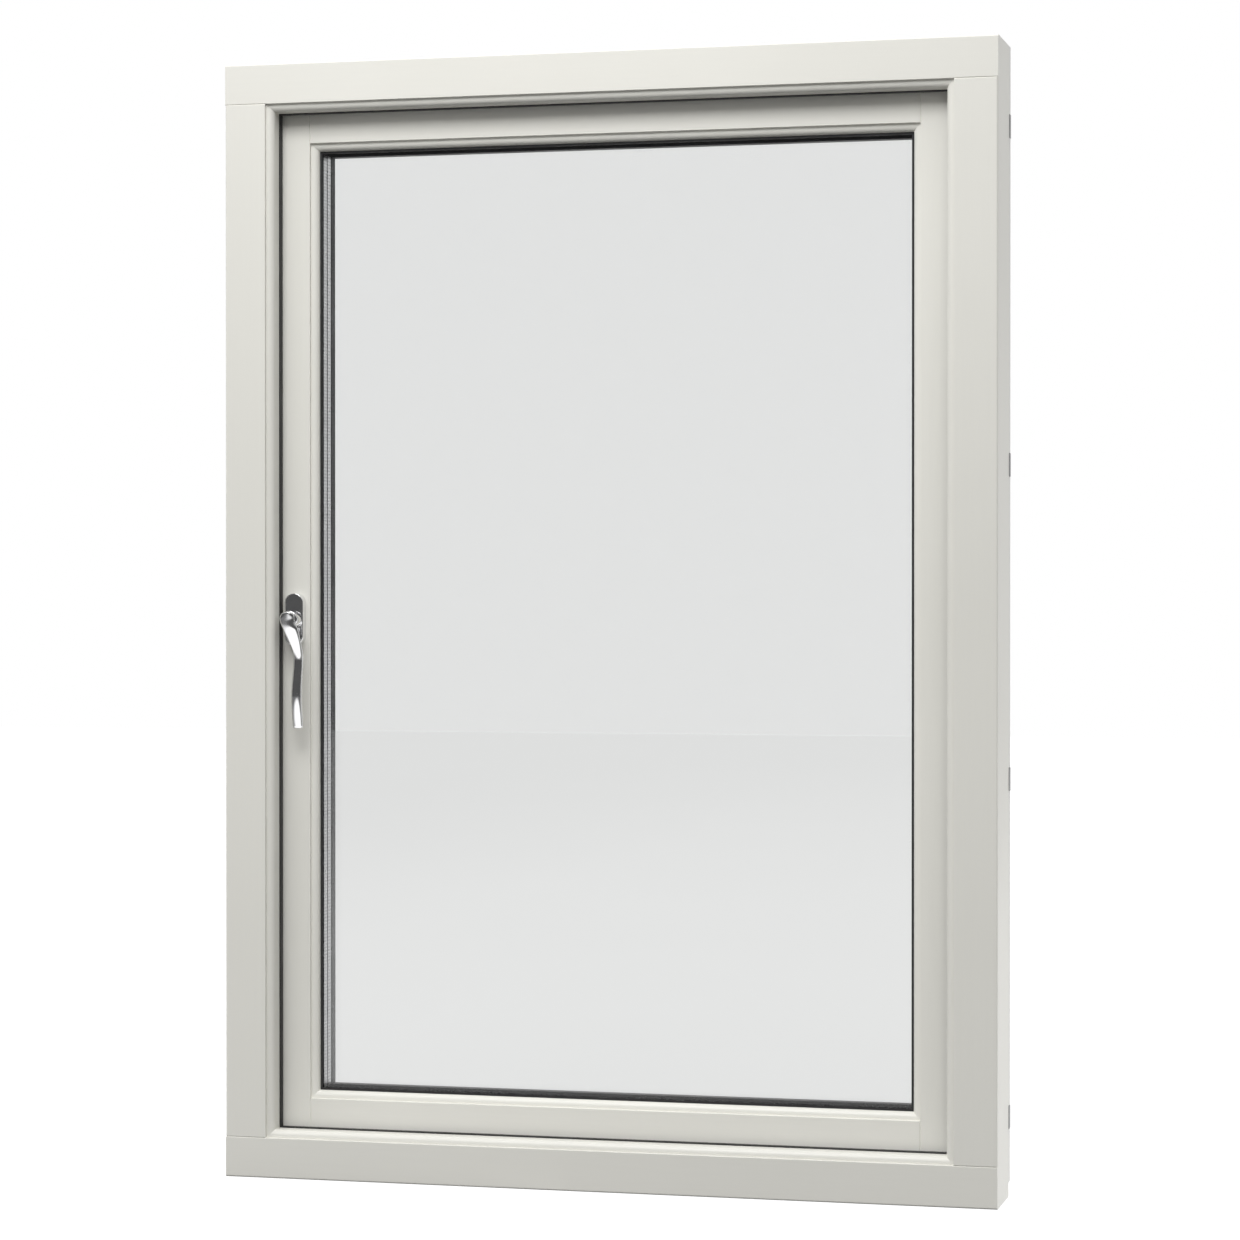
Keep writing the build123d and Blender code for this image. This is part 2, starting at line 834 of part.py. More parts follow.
def tooth_points(centre):
    """Outline of one gear tooth about the direction centre, from root to tip and back."""
    base = pitch_radius * math.cos(pressure_angle)
    tip = pitch_radius + gear_module
    half = math.pi / (2 * gear_teeth) - gear_backlash / (2 * pitch_radius)
    flank = [(hub_radius, half + involute(pressure_angle))]
    steps = 5
    for i in range(steps + 1):
        radius = base + (tip - base) * i / steps
        spread = half + involute(pressure_angle) - involute(math.acos(base / radius))
        flank.append((radius, spread))
    rising = [(r, centre - a) for r, a in flank]
    falling = [(r, centre + a) for r, a in reversed(flank)]
    return [
        (spindle_x + r * math.cos(a), spindle_z + r * math.sin(a)) for r, a in rising + falling
    ]


def web_points():
    """Outline of the web that carries the teeth, from the first to the last."""
    radius = pitch_radius - 1.25 * gear_module
    count = 24
    sweep = tooth_turns[-1] - tooth_turns[0]
    points = [(spindle_x, spindle_z)]
    for i in range(count + 1):
        angle = tooth_turns[0] + sweep * i / count
        points.append((spindle_x + radius * math.cos(angle), spindle_z + radius * math.sin(angle)))
    return points


def rack_points():
    """Outline of the rack that the gear drives. Its teeth point at the spindle."""
    pitch = math.pi * gear_module
    slope = math.tan(pressure_angle)
    line_x = spindle_x - pitch_radius
    root_x = line_x - 1.25 * gear_module
    tip_x = line_x + gear_module
    back_x = -window_width / 2 + rack_back
    half = pitch / 4 - gear_backlash / 2
    low_z = spindle_z - 2.5 * pitch
    points = [(back_x, low_z), (root_x, low_z)]
    for i in range(-2, 6):
        z = spindle_z + (i + 0.5) * pitch
        wide = half + 1.25 * gear_module * slope
        narrow = half - gear_module * slope
        points += [(root_x, z - wide), (tip_x, z - narrow), (tip_x, z + narrow), (root_x, z + wide)]
    high_z = spindle_z + 6.5 * pitch
    points += [(root_x, high_z), (back_x, high_z)]
    return points


gear_d0 = lock_d - gear_thickness / 2
tooth_turns = [math.pi + i * 2 * math.pi / gear_teeth for i in range(-5, 2)]
rack_low = spindle_s - 2.5 * math.pi * gear_module
rack_high = spindle_s + 6.5 * math.pi * gear_module
lug_low = spindle_s + 4.0
lug_high = lug_low + 12.0
with BuildPart() as drive_rack:
    with BuildSketch(facing_in(gear_d0)):
        with BuildLine():
            Polyline(*rack_points(), close=True)
        make_face()
    extrude(amount=-gear_thickness)
    add(block("left", bar_u1, rack_back + 1, lock_d - 3, lock_d + 3, lug_low, lug_high))
save("drive_rack", drive_rack)

with BuildPart() as spindle_gear:
    with BuildSketch(facing_in(gear_d0)):
        with Locations((spindle_x, spindle_z)):
            Circle(hub_radius)
        for turn in tooth_turns:
            with BuildLine():
                Polyline(*tooth_points(turn), close=True)
            make_face()
        with BuildLine():
            Polyline(*web_points(), close=True)
        make_face()
    extrude(amount=-gear_thickness)
    with BuildSketch(facing_in(case_d0)):
        with Locations((spindle_x, spindle_z)):
            Circle(hub_radius - 1)
    extrude(amount=-case_thickness)
    with BuildSketch(facing_in(case_d0 - 1)):
        with Locations((spindle_x, spindle_z)):
            Rectangle(spindle_square, spindle_square)
    extrude(amount=-case_thickness - 2, mode=Mode.SUBTRACT)
save("spindle_gear", spindle_gear)

cavity_d0 = case_d0 + case_wall
cavity_d1 = case_d1 - case_wall
with BuildPart() as gearbox:
    add(block("left", case_u0, case_u1, case_d0, case_d1, case_s0, case_s1))
    room_s0 = rack_low - bar_travel - 0.8
    room_s1 = rack_high + 0.8
    inner = block("left", rack_back - 0.4, case_u1 - case_wall, cavity_d0, cavity_d1, room_s0, room_s1)
    add(inner, mode=Mode.SUBTRACT)
    slot_s0 = lug_low - bar_travel - 0.5
    slot = block("left", case_u0 - 1, rack_back, lock_d - 3.2, lock_d + 3.2, slot_s0, lug_high + 0.5)
    add(slot, mode=Mode.SUBTRACT)
    with BuildSketch(facing_in(cavity_d0)):
        with Locations(*[(spindle_x, z) for z in plate_screw_heights]):
            Circle(plate_screw_radius + 1.6)
    extrude(amount=-(cavity_d1 - cavity_d0))
    with BuildSketch(facing_in(case_d0 - 1)):
        with Locations((spindle_x, spindle_z)):
            Circle(hub_radius - 1 + pin_clearance)
        with Locations(*[(spindle_x, z) for z in plate_screw_heights]):
            Circle(plate_screw_radius)
    extrude(amount=-case_thickness - 2, mode=Mode.SUBTRACT)
split_plane = facing_in(cavity_d1)
with BuildPart() as gearbox_case:
    add(gearbox.part)
    split(bisect_by=split_plane, keep=Keep.TOP)
save("gearbox_case", gearbox_case)
with BuildPart() as gearbox_cover:
    add(gearbox.part)
    split(bisect_by=split_plane, keep=Keep.BOTTOM)
save("gearbox_cover", gearbox_cover)

# ---------------------------------------------------------------- handle

plate_front = sash_front - plate_thickness
base_front = sash_front - plate_base
bush_end = sash_front - 1.0


def stadium(depth, length, height, width):
    """An upright plate with round ends about the spindle, going outdoors from a depth."""
    with BuildPart() as solid:
        with BuildSketch(facing_in(depth)):
            with Locations((spindle_x, spindle_z)):
                SlotOverall(height, width, rotation=90)
        extrude(amount=-length)
    return solid.part


def spindle_rod(depth, length, radius):
    """A round bar on the spindle's line, going outdoors from a depth."""
    with BuildPart() as solid:
        with BuildSketch(facing_in(depth)):
            with Locations((spindle_x, spindle_z)):
                Circle(radius)
        extrude(amount=-length)
    return solid.part


with BuildPart() as handle_plate_screws:
    with BuildSketch(facing_in(base_front - plate_screw_head_height)):
        with Locations(*[(spindle_x, z) for z in plate_screw_heights]):
            Circle(plate_screw_head)
    extrude(amount=-plate_screw_head_height)
    with BuildSketch(facing_in(base_front)):
        with Locations(*[(spindle_x, z) for z in plate_screw_heights]):
            Circle(plate_screw_radius)
    extrude(amount=-(cavity_d1 - base_front))
save("handle_plate_screws", handle_plate_screws)

inside = 2 * (rosette_wall + rosette_fit)
with BuildPart() as handle_base:
    add(stadium(base_front, plate_base, plate_height - inside, plate_width - inside))
    add(spindle_rod(base_front, plate_base, bush_radius), mode=Mode.SUBTRACT)
    add(handle_plate_screws.part, mode=Mode.SUBTRACT)
save("handle_base", handle_base)

with BuildPart() as handle_rosette:
    add(stadium(plate_front, plate_thickness, plate_height, plate_width))
    fillet(handle_rosette.faces().sort_by(Axis.Y)[0].edges(), rosette_edge)
    inner = stadium(
        plate_front + rosette_wall,
        plate_thickness,
        plate_height - 2 * rosette_wall,
        plate_width - 2 * rosette_wall,
    )
    add(inner, mode=Mode.SUBTRACT)
    add(spindle_rod(plate_front - 1, 4, bush_radius + rosette_fit), mode=Mode.SUBTRACT)
save("handle_rosette", handle_rosette)

with BuildPart() as handle_bush:
    add(spindle_rod(plate_front, bush_end - plate_front, bush_radius))
    bore = spindle_rod(plate_front - 1, plate_thickness + 2, tail_radius + pin_clearance)
    add(bore, mode=Mode.SUBTRACT)
save("handle_bush", handle_bush)

with BuildPart() as spindle:
    with BuildSketch(facing_in(spindle_front)):
        with Locations((spindle_x, spindle_z)):
            Rectangle(spindle_square, spindle_square)
    extrude(amount=-(case_d1 - spindle_front))
save("spindle", spindle)


def lever_at(up):
    """The lever's right, out, width and thickness at a height, smoothed between its points."""
    last = len(lever_line) - 1
    i = 0
    while i < last - 1 and lever_line[i + 1][2] > up:
        i += 1
    near, far_end = lever_line[i], lever_line[i + 1]
    span = far_end[2] - near[2]
    t = (up - near[2]) / span
    values = []
    for k in (0, 1, 3, 4):
        slopes = []
        for j in (i, i + 1):
            a, b = lever_line[max(j - 1, 0)], lever_line[min(j + 1, last)]
            slopes.append(span * (b[k] - a[k]) / (b[2] - a[2]))
        value = (2 * t**3 - 3 * t**2 + 1) * near[k] + (t**3 - 2 * t**2 + t) * slopes[0]
        value += (3 * t**2 - 2 * t**3) * far_end[k] + (t**3 - t**2) * slopes[1]
        values.append(value)
    return values


def end_inset(distance, radius):
    """How far a rounded end is drawn in at a distance from it."""
    rest = radius - min(distance, radius)
    return radius - math.sqrt(radius**2 - rest**2)


lever_top, lever_tip = lever_line[0][2], lever_line[-1][2]
lever_ups = set()
for share in (0.0, 0.06, 0.16, 0.32, 0.6, 1.0):
    lever_ups.add(lever_top - share * lever_top_radius)
    lever_ups.add(lever_tip + share * lever_tip_radius)
lever_steps = 24
lever_length = lever_top - lever_tip - lever_top_radius - lever_tip_radius
for i in range(1, lever_steps):
    lever_ups.add(lever_top - lever_top_radius - lever_length * i / lever_steps)

with BuildPart() as handle_lever:
    for up in sorted(lever_ups, reverse=True):
        right, out, wide, thick = lever_at(up)
        inset = end_inset(lever_top - up, lever_top_radius) + end_inset(up - lever_tip, lever_tip_radius)
        flat = wide - 2 * inset
        centre = (spindle_x + right, face_y + sash_front - out, spindle_z + up)
        with BuildSketch(Plane(origin=centre, x_dir=(1, 0, 0), z_dir=(0, 0, 1))):
            RectangleRounded(flat, thick - inset / 2, min(lever_edge, 0.4 * flat))
    loft(ruled=True)
    neck_front = sash_front - neck_reach
    add(spindle_rod(neck_front, plate_front - neck_gap - neck_front, neck_radius))
    add(spindle_rod(plate_front - neck_gap - 1, bush_end - plate_front + neck_gap, tail_radius))
    add(spindle.part, mode=Mode.SUBTRACT)
save("handle_lever", handle_lever)

# ---------------------------------------------------------------- timber sash

sash_lip = lip_section(sash_edge, sash_arris, sash_front, sash_lip_back)
sash_leg = rectangle_section(sash_edge, glass_wall, sash_lip_back, sash_back)

with BuildPart() as lock_room:
    reach = faceplate_width / 2 + 0.1
    depth = faceplate_u1 + 0.1
    add(
        block(
            "left",
            sash_edge - 1,
            depth,
            lock_d - reach,
            lock_d + reach,
            faceplate_s0 - 0.1,
            faceplate_s1 + 0.1,
        )
    )
    reach = bar_width / 2 + bar_clearance
    add(block("left", sash_edge, case_u0, lock_d - reach, lock_d + reach, faceplate_s0 + 5, faceplate_s1 - 5))
    gap = pocket_clearance
    add(
        block(
            "left", sash_edge, case_u1 + gap, case_d0 - gap, case_d1 + gap, case_s0 - gap, case_s1 + gap
        )
    )
    with BuildSketch(facing_in(sash_front - 1)):
        with Locations((spindle_x, spindle_z)):
            Circle(spindle_hole_radius)
        with Locations(*[(spindle_x, z) for z in plate_screw_heights]):
            Circle(plate_screw_radius)
    extrude(amount=-(case_d0 - sash_front + 1))
    add(faceplate_screws.part)

for name, side in (("sash_stile_lock", "left"), ("sash_stile_hinge", "right")):
    with BuildPart() as stile:
        add(member(sash_lip, side, through_outline(side, sash_edge, sash_arris, sash_sight)))
        add(member(sash_leg, side, full_outline(side, glass_wall, sash_edge, sash_edge)))
        add(sash_corner_dowels.part, mode=Mode.SUBTRACT)
        for rail in ("top", "bottom"):
            joint = window_width - sash_arris if (side == "left") == (rail == "bottom") else sash_arris
            groove = face_groove(rail, sash_edge - 1, sash_arris, sash_front, joint)
            add(groove, mode=Mode.SUBTRACT)
        if side == "left":
            add(lock_room.part, mode=Mode.SUBTRACT)
        else:
            add(hinge_sash_screws.part, mode=Mode.SUBTRACT)
    save(name, stile)

for name, side in (("sash_top_rail", "top"), ("sash_bottom_rail", "bottom")):
    with BuildPart() as rail:
        add(member(sash_lip, side, between_outline(side, sash_edge, sash_arris, sash_sight)))
        add(member(sash_leg, side, full_outline(side, glass_wall, glass_wall, glass_wall)))
        add(sash_corner_dowels.part, mode=Mode.SUBTRACT)
        for s in (sash_arris, window_width - sash_arris):
            add(face_groove(side, sash_edge - 1, sash_arris, sash_front, s), mode=Mode.SUBTRACT)
    save(name, rail)

# ---------------------------------------------------------------- glazing

glass_width = window_width - 2 * glass_edge
glass_height = jamb_run - 2 * glass_edge
pane_names = ("glass_inner", "glass_middle", "glass_outer")
for i, name in enumerate(pane_names):
    with BuildPart() as pane:
        with BuildSketch(facing_in(glass_inner_face + i * pane_pitch)):
            with Locations((0, middle_z)):
                Rectangle(glass_width, glass_height)
        extrude(amount=-pane_thickness)
    save(name, pane)

seal_inner = spacer_sight - spacer_height
for i, name in enumerate(("spacer_inner", "spacer_outer")):
    low = glass_inner_face + pane_thickness + i * pane_pitch
    tube = rectangle_section(seal_inner, spacer_sight, low, low + cavity)
    hollow = rectangle_section(
        seal_inner + spacer_wall, spacer_sight - spacer_wall, low + spacer_wall, low + cavity - spacer_wall
    )
    with BuildPart() as spacer:
        add(ring(tube - hollow, seal_inner, spacer_sight))
    save(name, spacer)

with BuildPart() as edge_seal:
    for i in range(2):
        low = glass_inner_face + pane_thickness + i * pane_pitch
        section = rectangle_section(glass_edge, seal_inner, low, low + cavity)
        add(ring(section, glass_edge, seal_inner))
save("edge_seal", edge_seal)

with BuildPart() as glazing_gasket_inner:
    section = rectangle_section(glass_edge + 2, gasket_sight, sash_lip_back, glass_inner_face)
    add(ring(section, glass_edge + 2, gasket_sight))
save("glazing_gasket_inner", glazing_gasket_inner)

outer_gasket_back = glass_outer_face + outer_gasket_thickness
with BuildPart() as glazing_gasket_outer:
    foot = glass_edge + 4
    lip_back = sash_skin_back - skin_radius
    section = polygon_section(
        [
            (foot, glass_outer_face),
            (gasket_sight, glass_outer_face),
            (gasket_sight, lip_back),
            (skin_inner, lip_back),
            (skin_inner, outer_gasket_back),
            (foot, outer_gasket_back),
        ]
    )
    add(ring(section, foot, gasket_sight))
save("glazing_gasket_outer", glazing_gasket_outer)

with BuildPart() as setting_blocks:
    for side in sides:
        first = glass_edge + block_end_distance
        for s in (first, side_length(side) - first):
            s0 = s - block_length / 2
            s1 = s + block_length / 2
            add(block(side, glass_wall, glass_edge, glass_inner_face, sash_back - 1, s0, s1))
save("setting_blocks", setting_blocks)

# ---------------------------------------------------------------- aluminium skin of the sash

sash_skin_points = (
    (sash_skin_edge, sash_back - sash_skin_lap),
    (sash_skin_edge, sash_skin_back),
    (skin_inner, sash_skin_back),
    (skin_inner, outer_gasket_back),
    (skin_inner - skin_wall, outer_gasket_back),
    (skin_inner - skin_wall, sash_skin_back - skin_wall),
    (skin_foot + skin_wall, sash_skin_back - skin_wall),
    (skin_foot + skin_wall, sash_back),
    (skin_foot, sash_back),
    (skin_foot, sash_skin_back - skin_wall),
    (sash_skin_edge + skin_wall, sash_skin_back - skin_wall),
    (sash_skin_edge + skin_wall, sash_back - sash_skin_lap),
)
with BuildSketch() as sash_skin_section:
    with BuildLine():
        Polyline(*sash_skin_points, close=True)
    make_face()
    fillet(sash_skin_section.vertices().group_by(Axis.Y)[-1], skin_radius)

sash_skin_names = {
    "left": "sash_cladding_lock",
    "top": "sash_cladding_top",
    "right": "sash_cladding_hinge",
    "bottom": "sash_cladding_bottom",
}
for side, name in sash_skin_names.items():
    with BuildPart() as skin:
        outline = mitred_outline(side, sash_skin_edge, skin_inner)
        add(member(sash_skin_section.sketch, side, outline))
        if side == "right":
            edge = hinge_u + knuckle_radius + hinge_gap
            notch = hinge_notch(sash_skin_edge - 1, edge, sash_back - sash_skin_lap - 1)
            add(notch, mode=Mode.SUBTRACT)
    save(name, skin)

sash_clip_start = skin_foot + skin_wall + clip_clearance
sash_clip_end = sash_clip_start + sash_clip_foot
sash_clip_back = sash_back + sash_clip_thickness
with BuildPart() as sash_cladding_clips:
    for side in sides:
        length = side_length(side)
        for s in (length * 0.2, length * 0.5, length * 0.8):
            s0 = s - clip_length / 2
            s1 = s + clip_length / 2
            add(block(side, sash_clip_start, sash_clip_end, sash_back, sash_clip_back, s0, s1))
save("sash_cladding_clips", sash_cladding_clips)
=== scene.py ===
import json
import math
import bmesh
import bpy
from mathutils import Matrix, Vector


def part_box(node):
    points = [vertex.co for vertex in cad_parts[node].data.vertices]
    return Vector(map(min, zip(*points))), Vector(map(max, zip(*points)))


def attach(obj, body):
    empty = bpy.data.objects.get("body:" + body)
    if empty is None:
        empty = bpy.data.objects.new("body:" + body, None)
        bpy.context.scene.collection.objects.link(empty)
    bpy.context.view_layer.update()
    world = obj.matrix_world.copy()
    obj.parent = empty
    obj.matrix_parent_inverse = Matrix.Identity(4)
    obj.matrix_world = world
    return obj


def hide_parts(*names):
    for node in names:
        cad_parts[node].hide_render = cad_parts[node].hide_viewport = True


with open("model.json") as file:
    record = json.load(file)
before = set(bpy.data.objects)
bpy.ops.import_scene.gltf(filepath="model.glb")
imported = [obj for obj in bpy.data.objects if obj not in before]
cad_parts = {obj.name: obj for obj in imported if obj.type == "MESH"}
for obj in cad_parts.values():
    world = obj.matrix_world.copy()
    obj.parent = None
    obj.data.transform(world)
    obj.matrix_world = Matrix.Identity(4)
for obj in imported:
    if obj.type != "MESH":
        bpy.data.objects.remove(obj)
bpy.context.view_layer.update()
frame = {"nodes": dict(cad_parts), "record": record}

nodes = frame["nodes"]
scene = bpy.context.scene
scene.view_settings.view_transform = "Standard"

MM = 0.001  # a millimetre, in metres


# ---------------------------------------------------------------- node helpers


class Nodes:
    """A short way to write a material's node tree."""

    def __init__(self, name):
        self.material = bpy.data.materials.new(name)
        self.material.use_nodes = True
        self.tree = self.material.node_tree
        self.tree.nodes.clear()
        self.shader = self.add("ShaderNodeBsdfPrincipled")
        out = self.add("ShaderNodeOutputMaterial")
        self.link(self.shader.outputs["BSDF"], out.inputs["Surface"])
        self.coord = self.add("ShaderNodeTexCoord").outputs["Object"]

    def add(self, kind, **settings):
        node = self.tree.nodes.new(kind)
        for key, value in settings.items():
            setattr(node, key, value)
        return node

    def link(self, a, b):
        self.tree.links.new(a, b)

    def feed(self, socket, value):
        """Links a socket to another one, or sets its plain value."""
        if isinstance(value, bpy.types.NodeSocket):
            self.link(value, socket)
        elif value is not None:
            socket.default_value = value

    def stretched(self, scale):
        """Object coordinates, scaled along each axis."""
        node = self.add("ShaderNodeMapping")
        self.link(self.coord, node.inputs["Vector"])
        node.inputs["Scale"].default_value = scale
        return node.outputs["Vector"]

    def noise(self, scale, vector=None, detail=3.0, roughness=0.5, distortion=0.0):
        node = self.add("ShaderNodeTexNoise")
        self.link(vector or self.coord, node.inputs["Vector"])
        node.inputs["Scale"].default_value = scale
        node.inputs["Detail"].default_value = detail
        node.inputs["Roughness"].default_value = roughness
        node.inputs["Distortion"].default_value = distortion
        return node.outputs["Fac"]

    def math(self, operation, a, b=None, c=None, clamp=False):
        node = self.add("ShaderNodeMath", operation=operation, use_clamp=clamp)
        for i, value in enumerate((a, b, c)):
            self.feed(node.inputs[i], value)
        return node.outputs[0]

    def span(self, value, low, high, to_low, to_high):
        """Maps low to to_low and high to to_high, and goes no further than either."""
        node = self.add("ShaderNodeMapRange")
        self.feed(node.inputs["Value"], value)
        ends = {"From Min": low, "From Max": high, "To Min": to_low, "To Max": to_high}
        for name, number in ends.items():
            node.inputs[name].default_value = number
        return node.outputs["Result"]

    def mix(self, factor, a, b):
        node = self.add("ShaderNodeMix", data_type="RGBA")
        self.feed(node.inputs[0], factor)
        self.feed(node.inputs[6], a)
        self.feed(node.inputs[7], b)
        return node.outputs[2]

    def bump(self, height, distance, strength=1.0, normal=None):
        node = self.add("ShaderNodeBump")
        self.feed(node.inputs["Height"], height)
        node.inputs["Distance"].default_value = distance
        node.inputs["Strength"].default_value = strength
        if normal is not None:
            self.link(normal, node.inputs["Normal"])
        return node.outputs["Normal"]

    def set(self, **values):
        """Feeds the shader's sockets, named with _ for each space."""
        for key, value in values.items():
            self.feed(self.shader.inputs[key.replace("_", " ")], value)
        return self.material


def rgb(r, g, b):
    return (r, g, b, 1.0)


# ---------------------------------------------------------------- materials

PAINT_DEEP = (0.772, 0.762, 0.708)
PAINT_PALE = (0.792, 0.782, 0.728)
GRAIN_ACROSS = 26.0
GRAIN_ALONG = 1.1
# painted light: the sash's paint is the frame's paint made 7 % lighter, standing in for the extra light the
# sash gets
SASH_PAINTED_LIGHT_LIFT = 1.07


def lifted(colour, painted_light_lift):
    """A colour made lighter by a factor."""
    return rgb(*(channel * painted_light_lift for channel in colour))


def paint(name, along, painted_light_lift=1.0):
    """Sprayed satin white paint on planed timber, with the grain just showing along the member."""
    n = Nodes(name)
    scale = [GRAIN_ACROSS] * 3
    scale["XYZ".index(along)] = GRAIN_ALONG
    grain = n.noise(9.0, n.stretched(scale), detail=5.0, roughness=0.62, distortion=0.4)
    peel = n.noise(620.0, detail=2.0)
    cloud = n.noise(2.3, detail=3.0)
    cloudy = n.span(cloud, 0.35, 0.65, 0.0, 1.0)
    # painted light: a lift above 1 makes both tones a lighter copy of the same paint
    tone = n.mix(cloudy, lifted(PAINT_DEEP, painted_light_lift), lifted(PAINT_PALE, painted_light_lift))
    tone = n.mix(n.span(grain, 0.42, 0.7, 0.0, 0.05), tone, rgb(0.66, 0.65, 0.60))
    normal = n.bump(grain, 0.00012, 0.45)
    normal = n.bump(peel, 0.00005, 0.5, normal)
    rough = n.math("ADD", n.span(cloud, 0.3, 0.7, 0.34, 0.42), n.span(peel, 0.3, 0.7, -0.03, 0.03))
    return n.set(Base_Color=tone, Roughness=rough, Normal=normal, IOR=1.5)


def powder_coat(name):
    """White powder coat on aluminium, with its fine even texture."""
    n = Nodes(name)
    grit = n.noise(1400.0, detail=3.0, roughness=0.6)
    cloud = n.noise(3.0)
    tone = n.mix(n.span(cloud, 0.3, 0.7, 0.0, 1.0), rgb(0.765, 0.762, 0.735), rgb(0.79, 0.787, 0.76))
    tone = n.mix(n.span(grit, 0.5, 0.75, 0.0, 0.12), tone, rgb(0.62, 0.62, 0.60))
    rough = n.span(grit, 0.3, 0.7, 0.40, 0.52)
    return n.set(Base_Color=tone, Roughness=rough, Normal=n.bump(grit, 0.00006, 0.6), IOR=1.5)


def rubber(name):
    """Extruded black rubber, with fine drawing lines and a little dust."""
    n = Nodes(name)
    fine = n.noise(900.0, detail=4.0)
    cloud = n.noise(14.0, detail=4.0)
    tone = n.mix(n.span(cloud, 0.45, 0.75, 0.0, 0.5), rgb(0.008, 0.008, 0.0085), rgb(0.022, 0.022, 0.023))
    return n.set(
        Base_Color=tone,
        Roughness=n.span(cloud, 0.3, 0.7, 0.5, 0.68),
        Normal=n.bump(fine, 0.00008, 0.5),
        IOR=1.5,
    )


def chrome(name):
    """Polished chrome plate with faint smears and hairline scratches."""
    n = Nodes(name)
    smear = n.noise(55.0, detail=4.0, distortion=0.8)
    hair = n.noise(420.0, n.stretched((1.0, 1.0, 0.12)), detail=3.0)
    tone = n.mix(smear, rgb(0.78, 0.78, 0.79), rgb(0.84, 0.84, 0.845))
    return n.set(
        Base_Color=tone,
        Metallic=1.0,
        Roughness=n.span(smear, 0.3, 0.75, 0.07, 0.15),
        Normal=n.bump(hair, 0.00001, 0.25),
    )


def zinc(name, low, high, rough_low=0.28, rough_high=0.46):
    """Zinc-plated steel: faintly spangled, with brushed lines."""
    n = Nodes(name)
    blotch = n.noise(90.0, detail=4.0, distortion=0.5)
    lines = n.noise(300.0, n.stretched((1.0, 1.0, 0.06)), detail=2.0)
    tone = n.mix(blotch, low, high)
    blotchy = n.span(blotch, 0.3, 0.7, rough_low, rough_high)
    rough = n.math("ADD", blotchy, n.span(lines, 0.3, 0.7, -0.04, 0.04))
    return n.set(Base_Color=tone, Metallic=1.0, Roughness=rough, Normal=n.bump(lines, 0.00003, 0.4))


def plastic(name, low, high, rough=0.45):
    """Moulded plastic with a faint spark-eroded grain."""
    n = Nodes(name)
    grain = n.noise(1100.0, detail=3.0)
    cloud = n.noise(30.0)
    tone = n.mix(cloud, low, high)
    return n.set(
        Base_Color=tone,
        Roughness=n.span(grain, 0.3, 0.7, rough - 0.05, rough + 0.08),
        Normal=n.bump(grain, 0.00005, 0.5),
        IOR=1.46,
    )


def glass(name):
    """Clear float glass, almost without tint, with a trace of roller wave."""
    n = Nodes(name)
    wave = n.noise(4.0, detail=1.0)
    return n.set(
        Base_Color=rgb(0.991, 0.994, 0.992),
        Transmission_Weight=1.0,
        Roughness=0.0,
        IOR=1.45,
        Normal=n.bump(wave, 0.00003, 0.15),
    )


SLOT_STEP = 0.0042
SLOT_HALF_LENGTH = 0.24  # share of the step
SLOT_ROW_STEP = 0.004
SLOT_HALF_WIDTH = 0.12  # share of the row step


def perforated(name):
    """Spacer bar with rows of small breather slots.

    Faces that look to the left or right are bright aluminium. All others are painted dark and rough and
    without shine: painted shade for the dark reflection the level bars show, so the upright bars look
    bright through the glass and the level ones don't. The slots are painted near black: painted shade in
    the holes.
    """
    n = Nodes(name)
    xyz = n.add("ShaderNodeSeparateXYZ")
    n.link(n.coord, xyz.inputs[0])
    facing = n.add("ShaderNodeSeparateXYZ")
    n.link(n.add("ShaderNodeNewGeometry").outputs["True Normal"], facing.inputs[0])
    upright = n.math("GREATER_THAN", n.math("ABSOLUTE", facing.outputs[0]), 0.5)
    inward = n.math("LESS_THAN", n.math("ABSOLUTE", facing.outputs[1]), 0.5)
    along = n.add("ShaderNodeMix", data_type="FLOAT")
    n.link(upright, along.inputs[0])
    n.link(xyz.outputs[0], along.inputs[2])
    n.link(xyz.outputs[2], along.inputs[3])
    place = n.math("FRACT", n.math("DIVIDE", along.outputs[0], SLOT_STEP))
    from_middle = n.math("ABSOLUTE", n.math("SUBTRACT", place, 0.5))
    slot = n.math("LESS_THAN", from_middle, SLOT_HALF_LENGTH)
    row = n.math("FRACT", n.math("DIVIDE", xyz.outputs[1], SLOT_ROW_STEP))
    from_row = n.math("ABSOLUTE", n.math("SUBTRACT", row, 0.5))
    slot = n.math("MULTIPLY", slot, n.math("LESS_THAN", from_row, SLOT_HALF_WIDTH))
    slot = n.math("MULTIPLY", slot, inward)
    blotch = n.noise(60.0, detail=3.0)
    bright = n.mix(blotch, rgb(0.62, 0.62, 0.63), rgb(0.70, 0.70, 0.71))
    # painted shade: every face except the upright ones gets near-black, standing in for the dark reflection
    # of the level bars
    tone = n.mix(upright, rgb(0.02, 0.02, 0.021), bright)
    # painted shade: the slots are painted near black, the shade inside the holes
    tone = n.mix(slot, tone, rgb(0.03, 0.03, 0.03))
    rougher = n.math("MULTIPLY_ADD", upright, -0.5, 0.5)
    # painted shade: metal and shine are also taken off every face except the upright ones
    return n.set(
        Base_Color=tone,
        Metallic=upright,
        Specular_IOR_Level=n.math("MULTIPLY", upright, 0.5),
        Roughness=n.math("ADD", n.span(blotch, 0.3, 0.7, 0.25, 0.38), rougher),
        Normal=n.bump(n.math("SUBTRACT", 1.0, slot), 0.0002, 0.6),
    )


def timber(name):
    """Bare beech with its flecks."""
    n = Nodes(name)
    grain = n.noise(10.0, n.stretched((2.0, 40.0, 40.0)), detail=5.0, distortion=0.6)
    tone = n.mix(n.span(grain, 0.3, 0.7, 0.0, 1.0), rgb(0.50, 0.31, 0.17), rgb(0.66, 0.46, 0.28))
    rough = n.span(grain, 0.3, 0.7, 0.55, 0.7)
    return n.set(Base_Color=tone, Roughness=rough, Normal=n.bump(grain, 0.0002, 0.5))


